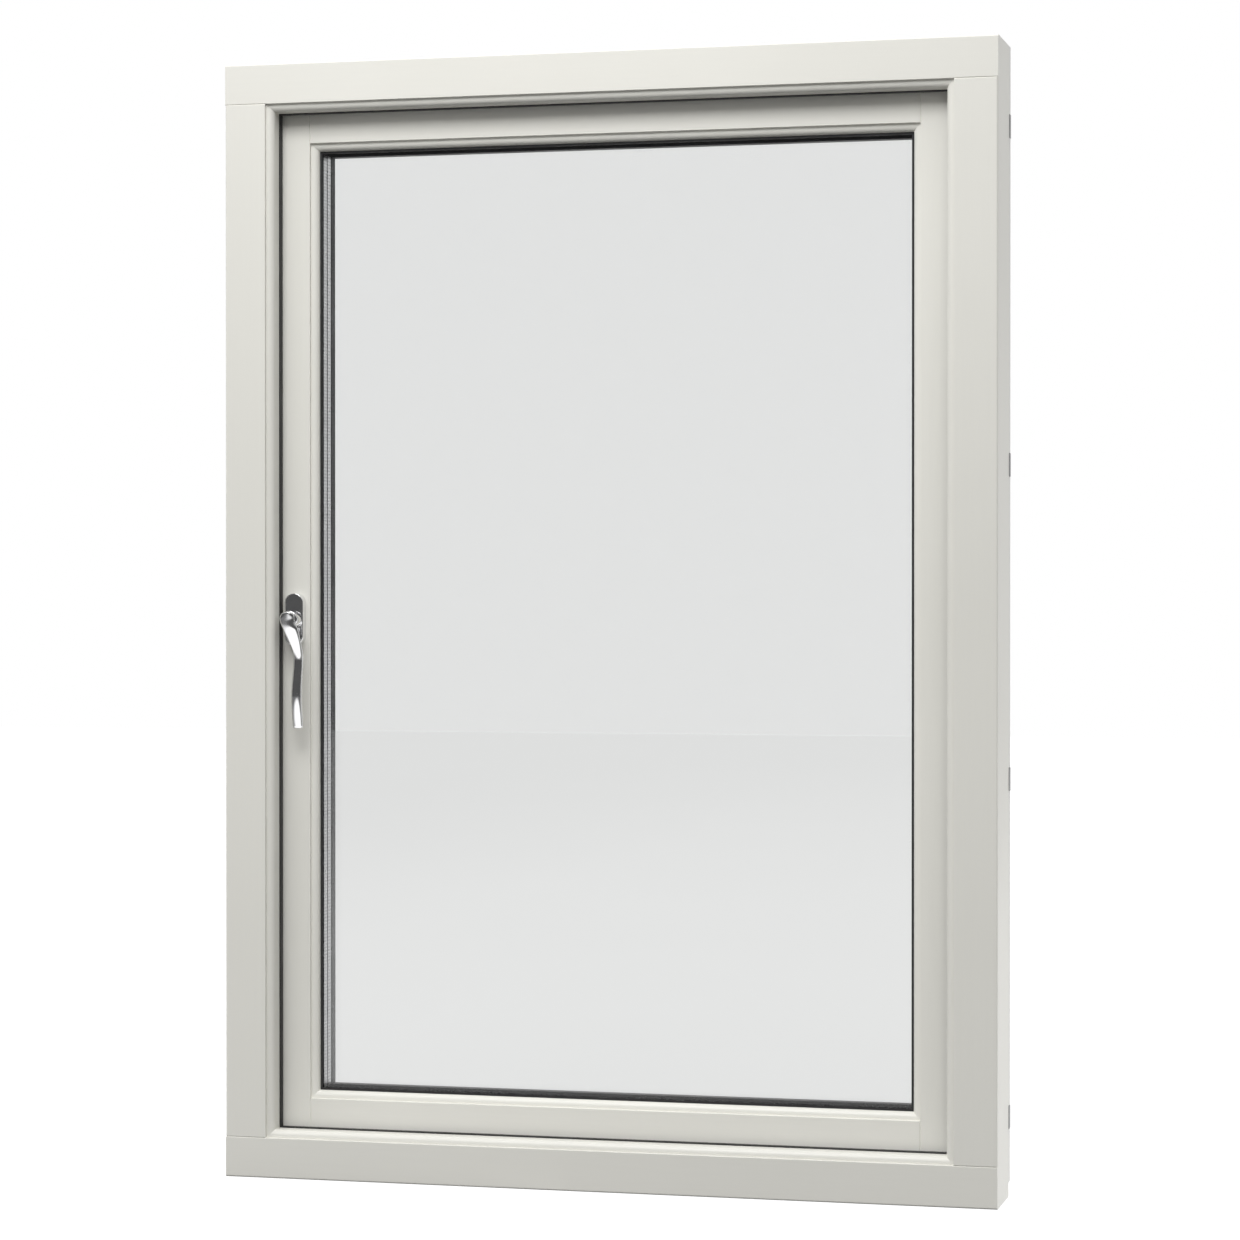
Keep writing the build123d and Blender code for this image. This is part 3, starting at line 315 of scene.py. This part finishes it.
white_upright = paint("white_paint_upright", "Z")
white_level = paint("white_paint_level", "X")
sash_upright_painted_light = paint("white_paint_sash_upright_painted_light", "Z", SASH_PAINTED_LIGHT_LIFT)
sash_level_painted_light = paint("white_paint_sash_level_painted_light", "X", SASH_PAINTED_LIGHT_LIFT)
coated = powder_coat("white_powder_coat")
black_rubber = rubber("black_rubber")
sealant = rubber("black_sealant")
polished = chrome("polished_chrome")
zinc_plate = zinc("zinc_plate", rgb(0.52, 0.53, 0.53), rgb(0.66, 0.66, 0.65))
screw_zinc = zinc("screw_zinc", rgb(0.58, 0.57, 0.53), rgb(0.74, 0.73, 0.69), 0.22, 0.36)
steel = zinc("ground_steel", rgb(0.34, 0.34, 0.35), rgb(0.45, 0.45, 0.46), 0.22, 0.34)
grey_plastic = plastic("grey_plastic", rgb(0.34, 0.345, 0.35), rgb(0.40, 0.405, 0.41))
white_plastic = plastic("white_plastic", rgb(0.72, 0.72, 0.70), rgb(0.78, 0.78, 0.76), 0.35)
clear_glass = glass("clear_glass")
spacer_painted_shade = perforated("spacer_aluminium")
beech = timber("beech")

looks = {
    "painted_timber": white_upright,
    "black_rubber": black_rubber,
    "powder_coated_aluminium": coated,
    "grey_plastic": grey_plastic,
    "clear_glass": clear_glass,
    "spacer_aluminium": spacer_painted_shade,
    "edge_sealant": sealant,
    "beech_wood": beech,
    "polished_chrome": polished,
    "white_plastic": white_plastic,
    "hardened_steel": steel,
    "zinc_screw_steel": screw_zinc,
    "zinc_plated_steel": zinc_plate,
}
level_members = ("frame_head", "frame_sill", "sash_top_rail", "sash_bottom_rail")


def dress(obj, material):
    """Gives an object its one material."""
    obj.data.materials.clear()
    obj.data.materials.append(material)


for part in frame["record"]["subparts"]:
    name = part["node"]
    material = looks[part["material_slot"]]
    # painted light: the sash members get the lighter copies of the same paint
    if material is white_upright and name.startswith("sash"):
        material = sash_level_painted_light if name in level_members else sash_upright_painted_light
    elif name in level_members:
        material = white_level
    dress(nodes[name], material)


# ---------------------------------------------------------------- mesh helpers


def make_piece(name, vertices, faces, material, sharp=35.0):
    """A finished mesh object, smooth up to an angle."""
    mesh = bpy.data.meshes.new(name)
    mesh.from_pydata(vertices, [], faces)
    mesh.validate()
    work = bmesh.new()
    work.from_mesh(mesh)
    bmesh.ops.remove_doubles(work, verts=work.verts, dist=1e-7)
    bmesh.ops.recalc_face_normals(work, faces=work.faces)
    for face in work.faces:
        face.smooth = True
    for edge in work.edges:
        if len(edge.link_faces) == 2 and edge.calc_face_angle(0.0) > math.radians(sharp):
            edge.smooth = False
    work.to_mesh(mesh)
    work.free()
    obj = bpy.data.objects.new(name, mesh)
    scene.collection.objects.link(obj)
    dress(obj, material)
    return obj


class Shape:
    """Collects rings of points and the faces between them."""

    def __init__(self):
        self.vertices = []
        self.faces = []

    def ring(self, points):
        """Adds points and returns their places in the list."""
        start = len(self.vertices)
        self.vertices += [tuple(point) for point in points]
        return list(range(start, len(self.vertices)))

    def join(self, a, b):
        """Faces between two rings with the same number of points."""
        count = len(a)
        for i in range(count):
            j = (i + 1) % count
            self.faces.append((a[i], a[j], b[j], b[i]))

    def tube(self, rings):
        """Joins a row of rings and closes its ends."""
        loops = [self.ring(points) for points in rings]
        for a, b in zip(loops, loops[1:]):
            self.join(a, b)
        self.faces.append(tuple(reversed(loops[0])))
        self.faces.append(tuple(loops[-1]))

    def turned(self, axis, profile, steps=64):
        """A solid of revolution. axis holds an origin, a direction and two cross directions."""
        origin, along, side, up = axis
        rings = []
        for distance, radius in profile:
            centre = origin + along * distance
            rings.append(
                [
                    centre + side * (radius * math.cos(turn)) + up * (radius * math.sin(turn))
                    for turn in (2 * math.pi * i / steps for i in range(steps))
                ]
            )
        self.tube(rings)


def islands(obj):
    """The vertex positions of each separate solid of a node."""
    work = bmesh.new()
    work.from_mesh(obj.data)
    bmesh.ops.remove_doubles(work, verts=work.verts, dist=1e-6)
    todo = set(work.verts)
    groups = []
    while todo:
        stack = [todo.pop()]
        group = []
        while stack:
            vertex = stack.pop()
            group.append(obj.matrix_world @ vertex.co)
            for edge in vertex.link_edges:
                other = edge.other_vert(vertex)
                if other in todo:
                    todo.remove(other)
                    stack.append(other)
        groups.append(group)
    work.free()
    return sorted(groups, key=lambda group: tuple(group[0]))


# ---------------------------------------------------------------- lever

LEVER_ROWS = (
    # right of the spindle, out from the sash face, above the spindle, width, thickness
    (0.0, 34.0, 10.0, 19.0, 8.0),
    (-1.0, 33.0, 0.0, 19.5, 9.0),
    (3.0, 32.0, -12.0, 19.5, 9.5),
    (10.0, 25.5, -40.0, 13.0, 9.0),
    (10.5, 24.5, -52.0, 12.0, 9.0),
    (9.5, 28.5, -95.0, 13.0, 9.0),
    (10.5, 25.0, -135.5, 13.0, 8.5),
)
LEVER_EDGE = 2.2
LEVER_TOP_RADIUS = 8.0
LEVER_TIP_RADIUS = 3.0
LEVER_END_STEPS = 12
LEVER_STEPS = 110
LEVER_END_TAPER = 1.7  # share of the end's curve taken off the section; 2.0 is a full round end
CROWN_ACROSS = 0.86  # 1.0 is an ellipse, and lower is nearer a rectangle
CROWN_OUT = 0.94
NECK_RADIUS = 11.0
NECK_REACH = 31.0  # sash face to the neck's far end, inside the lever
NECK_GAP = 0.4  # plate to neck
NECK_ROUND = 0.7
NECK_END_ROUND = 1.0
TAIL_RADIUS = 6.0
TAIL_START = 1.0
TAIL_OVERLAP = 1.0  # how far the tail goes into the neck
TAIL_CHAMFER = 0.3
CENTRE_RADIUS = 0.5  # radius of the flat that closes a turned end
ROUND_TURNS = (0.4, 0.8, 1.2, 1.57)


def lever_at(up):
    """Right, out, width and thickness of the lever at a height, by a cubic curve between the rows."""
    last = len(LEVER_ROWS) - 1
    i = 0
    while i < last - 1 and LEVER_ROWS[i + 1][2] > up:
        i += 1
    span = LEVER_ROWS[i + 1][2] - LEVER_ROWS[i][2]
    t = (up - LEVER_ROWS[i][2]) / span
    values = []
    for k in (0, 1, 3, 4):  # all that a row says, except the height
        slopes = []
        for j in (i, i + 1):
            a, b = LEVER_ROWS[max(j - 1, 0)], LEVER_ROWS[min(j + 1, last)]
            slopes.append(span * (b[k] - a[k]) / (b[2] - a[2]))
        value = (2 * t**3 - 3 * t**2 + 1) * LEVER_ROWS[i][k] + (t**3 - 2 * t**2 + t) * slopes[0]
        value += (3 * t**2 - 2 * t**3) * LEVER_ROWS[i + 1][k] + (t**3 - t**2) * slopes[1]
        values.append(value)
    return values


def drawn_in(distance, radius):
    """How far a rounded end draws in at a distance from its tip."""
    rest = radius - min(distance, radius)
    return radius - math.sqrt(max(radius**2 - rest**2, 0.0))


def crowned(wide, thick, steps=48):
    """Points of a crowned section, between an ellipse and a rectangle, as pairs across and out."""
    points = []
    for i in range(steps):
        turn = 2 * math.pi * i / steps
        c, s = math.cos(turn), math.sin(turn)
        x = wide / 2 * math.copysign(abs(c) ** CROWN_ACROSS, c)
        y = thick / 2 * math.copysign(abs(s) ** CROWN_OUT, s)
        points.append((x, y))
    return points


def lever_rings(x0, face, z0):
    """Sections of the lever's arm from the top down, closer together at its rounded ends."""
    top, tip = LEVER_ROWS[0][2], LEVER_ROWS[-1][2]
    ups = set()
    for i in range(LEVER_END_STEPS + 1):
        share = 1 - math.cos(math.pi / 2 * i / LEVER_END_STEPS)
        ups.add(top - share * LEVER_TOP_RADIUS)
        ups.add(tip + share * LEVER_TIP_RADIUS)
    length = top - tip - LEVER_TOP_RADIUS - LEVER_TIP_RADIUS
    for i in range(1, LEVER_STEPS):
        ups.add(top - LEVER_TOP_RADIUS - length * i / LEVER_STEPS)
    rings = []
    for up in sorted(ups, reverse=True):
        right, out, wide, thick = lever_at(up)
        narrow = drawn_in(top - up, LEVER_TOP_RADIUS) + drawn_in(up - tip, LEVER_TIP_RADIUS)
        thin = drawn_in(top - up, LEVER_EDGE) + drawn_in(up - tip, LEVER_EDGE)
        section = crowned(wide - LEVER_END_TAPER * narrow, thick - LEVER_END_TAPER * thin)
        rings.append(
            [(x0 + (right + x) * MM, face - (out + y) * MM, z0 + up * MM) for x, y in section]
        )
    return rings


def neck_profile(stand):
    """Distance from the sash face and radius of the round neck, from its foot to its far end."""
    profile = [(stand, CENTRE_RADIUS), (stand, NECK_RADIUS - NECK_ROUND)]
    for turn in ROUND_TURNS:
        distance = stand + NECK_ROUND - NECK_ROUND * math.cos(turn)
        profile.append((distance, NECK_RADIUS - NECK_ROUND + NECK_ROUND * math.sin(turn)))
    profile.append((NECK_REACH - NECK_END_ROUND, NECK_RADIUS))
    for turn in ROUND_TURNS:
        distance = NECK_REACH - NECK_END_ROUND + NECK_END_ROUND * math.sin(turn)
        profile.append((distance, NECK_RADIUS - NECK_END_ROUND + NECK_END_ROUND * math.cos(turn)))
    profile.append((NECK_REACH, CENTRE_RADIUS))
    return profile


def tail_profile(stand):
    """Distance from the sash face and radius of the tail that turns in the bush."""
    end = stand + TAIL_OVERLAP
    return [
        (TAIL_START, CENTRE_RADIUS),
        (TAIL_START, TAIL_RADIUS - TAIL_CHAMFER),
        (TAIL_START + TAIL_CHAMFER, TAIL_RADIUS),
        (end, TAIL_RADIUS),
        (end, CENTRE_RADIUS),
    ]


def build_lever():
    """The chrome lever: arm, neck and tail."""
    low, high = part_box("spindle")
    x0 = (low[0] + high[0]) / 2
    z0 = (low[2] + high[2]) / 2
    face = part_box("sash_stile_lock")[0][1]
    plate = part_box("handle_rosette")[0][1]
    shape = Shape()
    shape.tube(lever_rings(x0, face, z0))
    axis = (Vector((x0, face, z0)), Vector((0, -1, 0)), Vector((1, 0, 0)), Vector((0, 0, 1)))
    stand = (face - plate) / MM + NECK_GAP
    shape.turned(axis, [(a * MM, r * MM) for a, r in neck_profile(stand)], 72)
    shape.turned(axis, [(a * MM, r * MM) for a, r in tail_profile(stand)], 48)
    lever = make_piece("lever", shape.vertices, shape.faces, polished, 40.0)
    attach(lever, "handle")
    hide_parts("handle_lever")


build_lever()


ROSETTE_FIT = 0.3  # bush to plate
ROSETTE_EDGE = 1.0
ROSETTE_WALL = 1.6
ROSETTE_STEPS = 128
ROSETTE_EDGE_STEPS = 6


def build_rosette():
    """The plate's chrome cover: round ends, an even rounded edge and a hole for the bush."""
    low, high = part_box("handle_rosette")
    x0, z0 = (low[0] + high[0]) / 2, (low[2] + high[2]) / 2
    radius = (high[0] - low[0]) / 2
    straight = (high[2] - low[2]) / 2 - radius
    hole = (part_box("handle_bush")[1][0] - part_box("handle_bush")[0][0]) / 2 + ROSETTE_FIT * MM
    edge = ROSETTE_EDGE * MM
    wall = ROSETTE_WALL * MM
    turns = [2 * math.pi * i / ROSETTE_STEPS for i in range(ROSETTE_STEPS)]

    def outline(inset, y):
        points = []
        for turn in turns:
            shift = straight if math.sin(turn) >= 0 else -straight
            size = radius - inset
            points.append((x0 + size * math.cos(turn), y, z0 + shift + size * math.sin(turn)))
        return points

    def circle(y):
        return [(x0 + hole * math.cos(turn), y, z0 + hole * math.sin(turn)) for turn in turns]

    rings = [outline(0.0, high[1])]
    for i in range(ROSETTE_EDGE_STEPS + 1):
        turn = math.pi / 2 * i / ROSETTE_EDGE_STEPS
        rings.append(outline(edge - edge * math.cos(turn), low[1] + edge - edge * math.sin(turn)))
    rings += [circle(low[1]), circle(low[1] + wall), outline(wall, low[1] + wall), outline(wall, high[1])]
    shape = Shape()
    loops = [shape.ring(points) for points in rings]
    for a, b in zip(loops, loops[1:] + loops[:1]):
        shape.join(a, b)
    rosette = make_piece("rosette", shape.vertices, shape.faces, polished, 32.0)
    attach(rosette, "sash")
    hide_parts("handle_rosette")


build_rosette()


# ---------------------------------------------------------------- screws

# Shares of the head's radius.
RECESS_ARM = 0.56
RECESS_HALF_WIDTH = 0.15
RECESS_FLOOR_ARM = 0.36
RECESS_FLOOR_HALF_WIDTH = 0.09
RIM_RADIUS = 0.93
RIM_DROP = 0.04
HEAD_EDGE = 0.1
# Shares of the thread's radius.
RECESS_DEPTH = 0.75
THREAD_PITCH = 0.9
THREAD_ROOT = 0.74
PLAIN_SHANK = 2.0  # past the head's radius, where the thread begins
THREAD_END = 2.2  # before the tip
POINT_LENGTH = 1.8
POINT_ROOT = 0.72
TIP_RADIUS = 0.12
# Shares of the thread's pitch, measured from where a root begins.
ROOT_END = 0.40
CREST_START = 0.55
CREST_END = 0.70
FLAT_HEAD = 2.6  # thickness of a flat head
SCREW_STEPS = 48
SAME_PLACE = 1e-5


def cross_radius(turn, arm, half):
    """Distance from the middle of a cross recess to its outline."""
    c = max(abs(math.cos(turn)), 1e-6)
    s = max(abs(math.sin(turn)), 1e-6)
    return max(min(arm / c, half / s), min(half / c, arm / s))


def screw_shape(shape, head, along, head_radius, radius, length, flat):
    """A cross-recess screw. along points from the head's top to the tip, and flat is the thickness
    of a flat head, or 0 for a countersunk one."""
    side = along.orthogonal().normalized()
    up = along.cross(side)
    turns = [2 * math.pi * i / SCREW_STEPS for i in range(SCREW_STEPS)]

    def circle(distance, size):
        centre = head + along * distance
        return [centre + side * (size * math.cos(t)) + up * (size * math.sin(t)) for t in turns]

    def cross(distance, arm, half):
        centre = head + along * distance
        sizes = [cross_radius(t, arm, half) for t in turns]
        return [centre + side * (r * math.cos(t)) + up * (r * math.sin(t)) for r, t in zip(sizes, turns)]

    edge = HEAD_EDGE * head_radius
    rings = [
        cross(RECESS_DEPTH * radius, RECESS_FLOOR_ARM * head_radius, RECESS_FLOOR_HALF_WIDTH * head_radius),
        cross(0.0, RECESS_ARM * head_radius, RECESS_HALF_WIDTH * head_radius),
        circle(0.0, RIM_RADIUS * head_radius),
        circle(RIM_DROP * head_radius, head_radius),
    ]
    if flat:
        rings.append(circle(flat, head_radius))
        rings.append(circle(flat, radius))
    else:
        rings.append(circle(edge, head_radius))
        rings.append(circle(head_radius - radius + edge, radius))
    pitch = THREAD_PITCH * radius
    at = head_radius + PLAIN_SHANK * radius
    while at < length - THREAD_END * radius:
        rings.append(circle(at, THREAD_ROOT * radius))
        rings.append(circle(at + ROOT_END * pitch, THREAD_ROOT * radius))
        rings.append(circle(at + CREST_START * pitch, radius))
        rings.append(circle(at + CREST_END * pitch, radius))
        at += pitch
    rings.append(circle(length - POINT_LENGTH * radius, POINT_ROOT * radius))
    rings.append(circle(length, TIP_RADIUS * radius))
    shape.tube(rings)


def build_screws(node, body, flat=False):
    """Recessed screws in place of the plain ones of a node."""
    shape = Shape()
    for group in islands(nodes[node]):
        low = Vector([min(p[i] for p in group) for i in range(3)])
        high = Vector([max(p[i] for p in group) for i in range(3)])
        size = high - low
        k = max(range(3), key=lambda i: size[i])
        centre = (low + high) / 2
        near = [p for p in group if p[k] - low[k] < SAME_PLACE]
        far = [p for p in group if high[k] - p[k] < SAME_PLACE]

        def reach(points):
            return max(max(abs(p[i] - centre[i]) for i in range(3) if i != k) for p in points)

        head_low = reach(near) > reach(far)
        head = centre.copy()
        head[k] = low[k] if head_low else high[k]
        along = Vector((0, 0, 0))
        along[k] = 1.0 if head_low else -1.0
        head_radius = max(reach(near), reach(far))
        radius = min(reach(near), reach(far))
        deep = FLAT_HEAD * MM if flat else 0.0
        screw_shape(shape, head, along, head_radius, radius, size[k], deep)
    screws = make_piece(node + "_detailed", shape.vertices, shape.faces, screw_zinc, 30.0)
    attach(screws, body)
    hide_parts(node)


for node in ("frame_corner_screws", "hinge_frame_screws", "keep_screws"):
    build_screws(node, "frame")
for node in ("hinge_sash_screws", "faceplate_screws"):
    build_screws(node, "sash")
build_screws("handle_plate_screws", "sash", flat=True)


# ---------------------------------------------------------------- stage, light and camera


FLOOR_HALF_SIZE = 14.0
FLOOR_GLOW = 0.66  # seen through the glass
FLOOR_GLOW_SEEN = 1.05  # seen by the camera
FLOOR_GLOW_AROUND = 0.08  # seen in mirrors, around the patch
FLOOR_GLOW_MIRRORED = 1.15  # what the patch adds to that, where it is full
PATCH_LEFT = (-2.9, -1.3)  # where the patch begins and where it is full
PATCH_RIGHT = (1.6, 3.4)  # where it is full and where it ends
PATCH_FRONT = (-11.0, -4.0)  # where it begins and where it is full


def stage_floor():
    """A plain pale floor.

    The camera sees it near white. It lights matt surfaces little, and shows mirrors a bright patch
    with a dark surround.
    """
    mesh = bpy.data.meshes.new("floor")
    size = FLOOR_HALF_SIZE
    corners = [(-size, -size, 0), (size, -size, 0), (size, size, 0), (-size, size, 0)]
    mesh.from_pydata(corners, [], [(0, 1, 2, 3)])
    obj = bpy.data.objects.new("floor", mesh)
    scene.collection.objects.link(obj)
    n = Nodes("pale_floor")
    path = n.add("ShaderNodeLightPath")
    cloud = n.noise(1.5)
    tone = n.mix(cloud, rgb(0.085, 0.085, 0.084), rgb(0.095, 0.095, 0.094))
    n.set(Base_Color=tone, Roughness=0.95)
    n.feed(n.shader.inputs["Specular IOR Level"], 0.0)
    n.feed(n.shader.inputs["Emission Color"], rgb(1.0, 1.0, 1.0))
    glow = n.math("MULTIPLY_ADD", path.outputs["Is Camera Ray"], FLOOR_GLOW_SEEN - FLOOR_GLOW, FLOOR_GLOW)
    glossy, through = path.outputs["Is Glossy Ray"], path.outputs["Is Transmission Ray"]
    mirrored = n.math("SUBTRACT", glossy, through, clamp=True)
    xyz = n.add("ShaderNodeSeparateXYZ")
    n.link(n.coord, xyz.inputs[0])
    rise = n.span(xyz.outputs[0], *PATCH_LEFT, 0.0, 1.0)
    fall = n.span(xyz.outputs[0], *PATCH_RIGHT, 1.0, 0.0)
    patch = n.math("MULTIPLY", rise, fall)
    patch = n.math("MULTIPLY", patch, n.span(xyz.outputs[1], *PATCH_FRONT, 0.0, 1.0))
    patch = n.math("MULTIPLY_ADD", patch, FLOOR_GLOW_MIRRORED, FLOOR_GLOW_AROUND - FLOOR_GLOW)
    glow = n.math("MULTIPLY_ADD", mirrored, patch, glow)
    glow = n.math("MULTIPLY", n.math("SUBTRACT", 1.0, path.outputs["Is Diffuse Ray"]), glow)
    n.feed(n.shader.inputs["Emission Strength"], glow)
    dress(obj, n.material)


stage_floor()


def area_light(name, place, aim, size_x, size_y, power):
    """A soft lamp aimed at a point. Only the key lamp shows in mirrors."""
    data = bpy.data.lights.new(name, "AREA")
    data.shape = "RECTANGLE"
    data.size = size_x
    data.size_y = size_y
    data.energy = power
    obj = bpy.data.objects.new(name, data)
    obj.location = place
    obj.rotation_euler = (Vector(aim) - Vector(place)).to_track_quat("-Z", "Y").to_euler()
    obj.visible_glossy = name == "key"
    scene.collection.objects.link(obj)


area_light("key", (-0.22, -1.50, 2.4), (0, 0, 0.7), 1.2, 0.8, 23)
area_light("left", (-2.2, -0.85, 0.8), (0.3, 0.0, 0.7), 0.6, 1.4, 4)
area_light("low_right", (1.8, 0.35, 0.1), (0.5, 0.05, 0.3), 0.9, 0.4, 6.5)

world = bpy.data.worlds.new("studio")
scene.world = world
world.use_nodes = True
tree = world.node_tree
tree.nodes.clear()


def world_node(kind, **settings):
    node = tree.nodes.new(kind)
    for key, value in settings.items():
        setattr(node, key, value)
    return node


direction = world_node("ShaderNodeSeparateXYZ")
tree.links.new(world_node("ShaderNodeTexCoord").outputs["Generated"], direction.inputs[0])


def world_ramp(value, stops):
    """A ramp over a direction's share: 0 at one pole, 1 at the other."""
    ramp = world_node("ShaderNodeValToRGB")
    ramp.color_ramp.interpolation = "EASE"
    elements = ramp.color_ramp.elements
    while len(elements) < len(stops):
        elements.new(0.5)
    for element, (place, level) in zip(elements, stops):
        element.position = place
        element.color = (level, level, level, 1)
    tree.links.new(value, ramp.inputs[0])
    return ramp.outputs[0]


def half(value):
    """Brings -1 to 1 into 0 to 1."""
    node = world_node("ShaderNodeMath", operation="MULTIPLY_ADD")
    tree.links.new(value, node.inputs[0])
    node.inputs[1].default_value = 0.5
    node.inputs[2].default_value = 0.5
    return node.outputs[0]


def blended(factor, a, b):
    node = world_node("ShaderNodeMix", data_type="RGBA")
    tree.links.new(factor, node.inputs[0])
    tree.links.new(a, node.inputs[6])
    tree.links.new(b, node.inputs[7])
    return node.outputs[2]


# Ramp stops are a place, from 0 at the bottom, front or left to 1 at the other end, and a level.
FRONT_STOPS = ((0.0, 0.8), (0.44, 0.09), (0.62, 0.09), (0.80, 0.75), (1.0, 0.9))
REAR_STOPS = ((0.0, 0.8), (0.45, 0.92), (0.6, 0.92), (1.0, 0.9))
FRONT_TO_REAR_STOPS = ((0.50, 0.0), (0.62, 1.0))
LEVEL_STOPS = ((0.0, 0.05), (0.50, 0.12), (0.62, 0.28), (0.74, 0.85), (0.86, 1.0), (1.0, 1.0))
ACROSS_STOPS = ((0.0, 1.0), (0.35, 0.95), (0.6, 0.85), (1.0, 0.80))
SKY_STRENGTH = 1.66

# What mirrors and glass see: dark in front at eye level, pale elsewhere.
front = world_ramp(half(direction.outputs[2]), FRONT_STOPS)
rear = world_ramp(half(direction.outputs[2]), REAR_STOPS)
seen = blended(world_ramp(half(direction.outputs[1]), FRONT_TO_REAR_STOPS), front, rear)
# What lights matt surfaces: much stronger from above, and a little stronger from the left.
level = world_ramp(half(direction.outputs[2]), LEVEL_STOPS)
across = world_ramp(half(direction.outputs[0]), ACROSS_STOPS)
product = world_node("ShaderNodeVectorMath", operation="MULTIPLY")
tree.links.new(level, product.inputs[0])
tree.links.new(across, product.inputs[1])
scaled = world_node("ShaderNodeVectorMath", operation="SCALE")
tree.links.new(product.outputs[0], scaled.inputs[0])
scaled.inputs["Scale"].default_value = SKY_STRENGTH
soft = scaled.outputs[0]
path = world_node("ShaderNodeLightPath")
lighting = world_node("ShaderNodeBackground")
tree.links.new(blended(path.outputs["Is Diffuse Ray"], seen, soft), lighting.inputs["Color"])
lighting.inputs["Strength"].default_value = 1.0
backdrop = world_node("ShaderNodeBackground")
backdrop.inputs["Color"].default_value = (1.0, 1.0, 1.0, 1.0)
either = world_node("ShaderNodeMixShader")
tree.links.new(path.outputs["Is Camera Ray"], either.inputs[0])
tree.links.new(lighting.outputs[0], either.inputs[1])
tree.links.new(backdrop.outputs[0], either.inputs[2])
tree.links.new(either.outputs[0], world_node("ShaderNodeOutputWorld").inputs[0])

CAMERA_LENS = 100.64
CAMERA_SENSOR = 36.0
CAMERA_REACH = 60.0
CAMERA_PLACE = (1.0677, -4.1255, 0.7220)
CAMERA_DIP = 0.336  # degrees below level
CAMERA_TURN = 14.35  # degrees to the left of straight on

camera_data = bpy.data.cameras.new("camera")
camera_data.lens = CAMERA_LENS
camera_data.sensor_width = CAMERA_SENSOR
camera_data.clip_end = CAMERA_REACH
camera = bpy.data.objects.new("camera", camera_data)
camera.location = CAMERA_PLACE
camera.rotation_euler = (math.radians(90.0 - CAMERA_DIP), 0.0, math.radians(CAMERA_TURN))
scene.collection.objects.link(camera)
scene.camera = camera
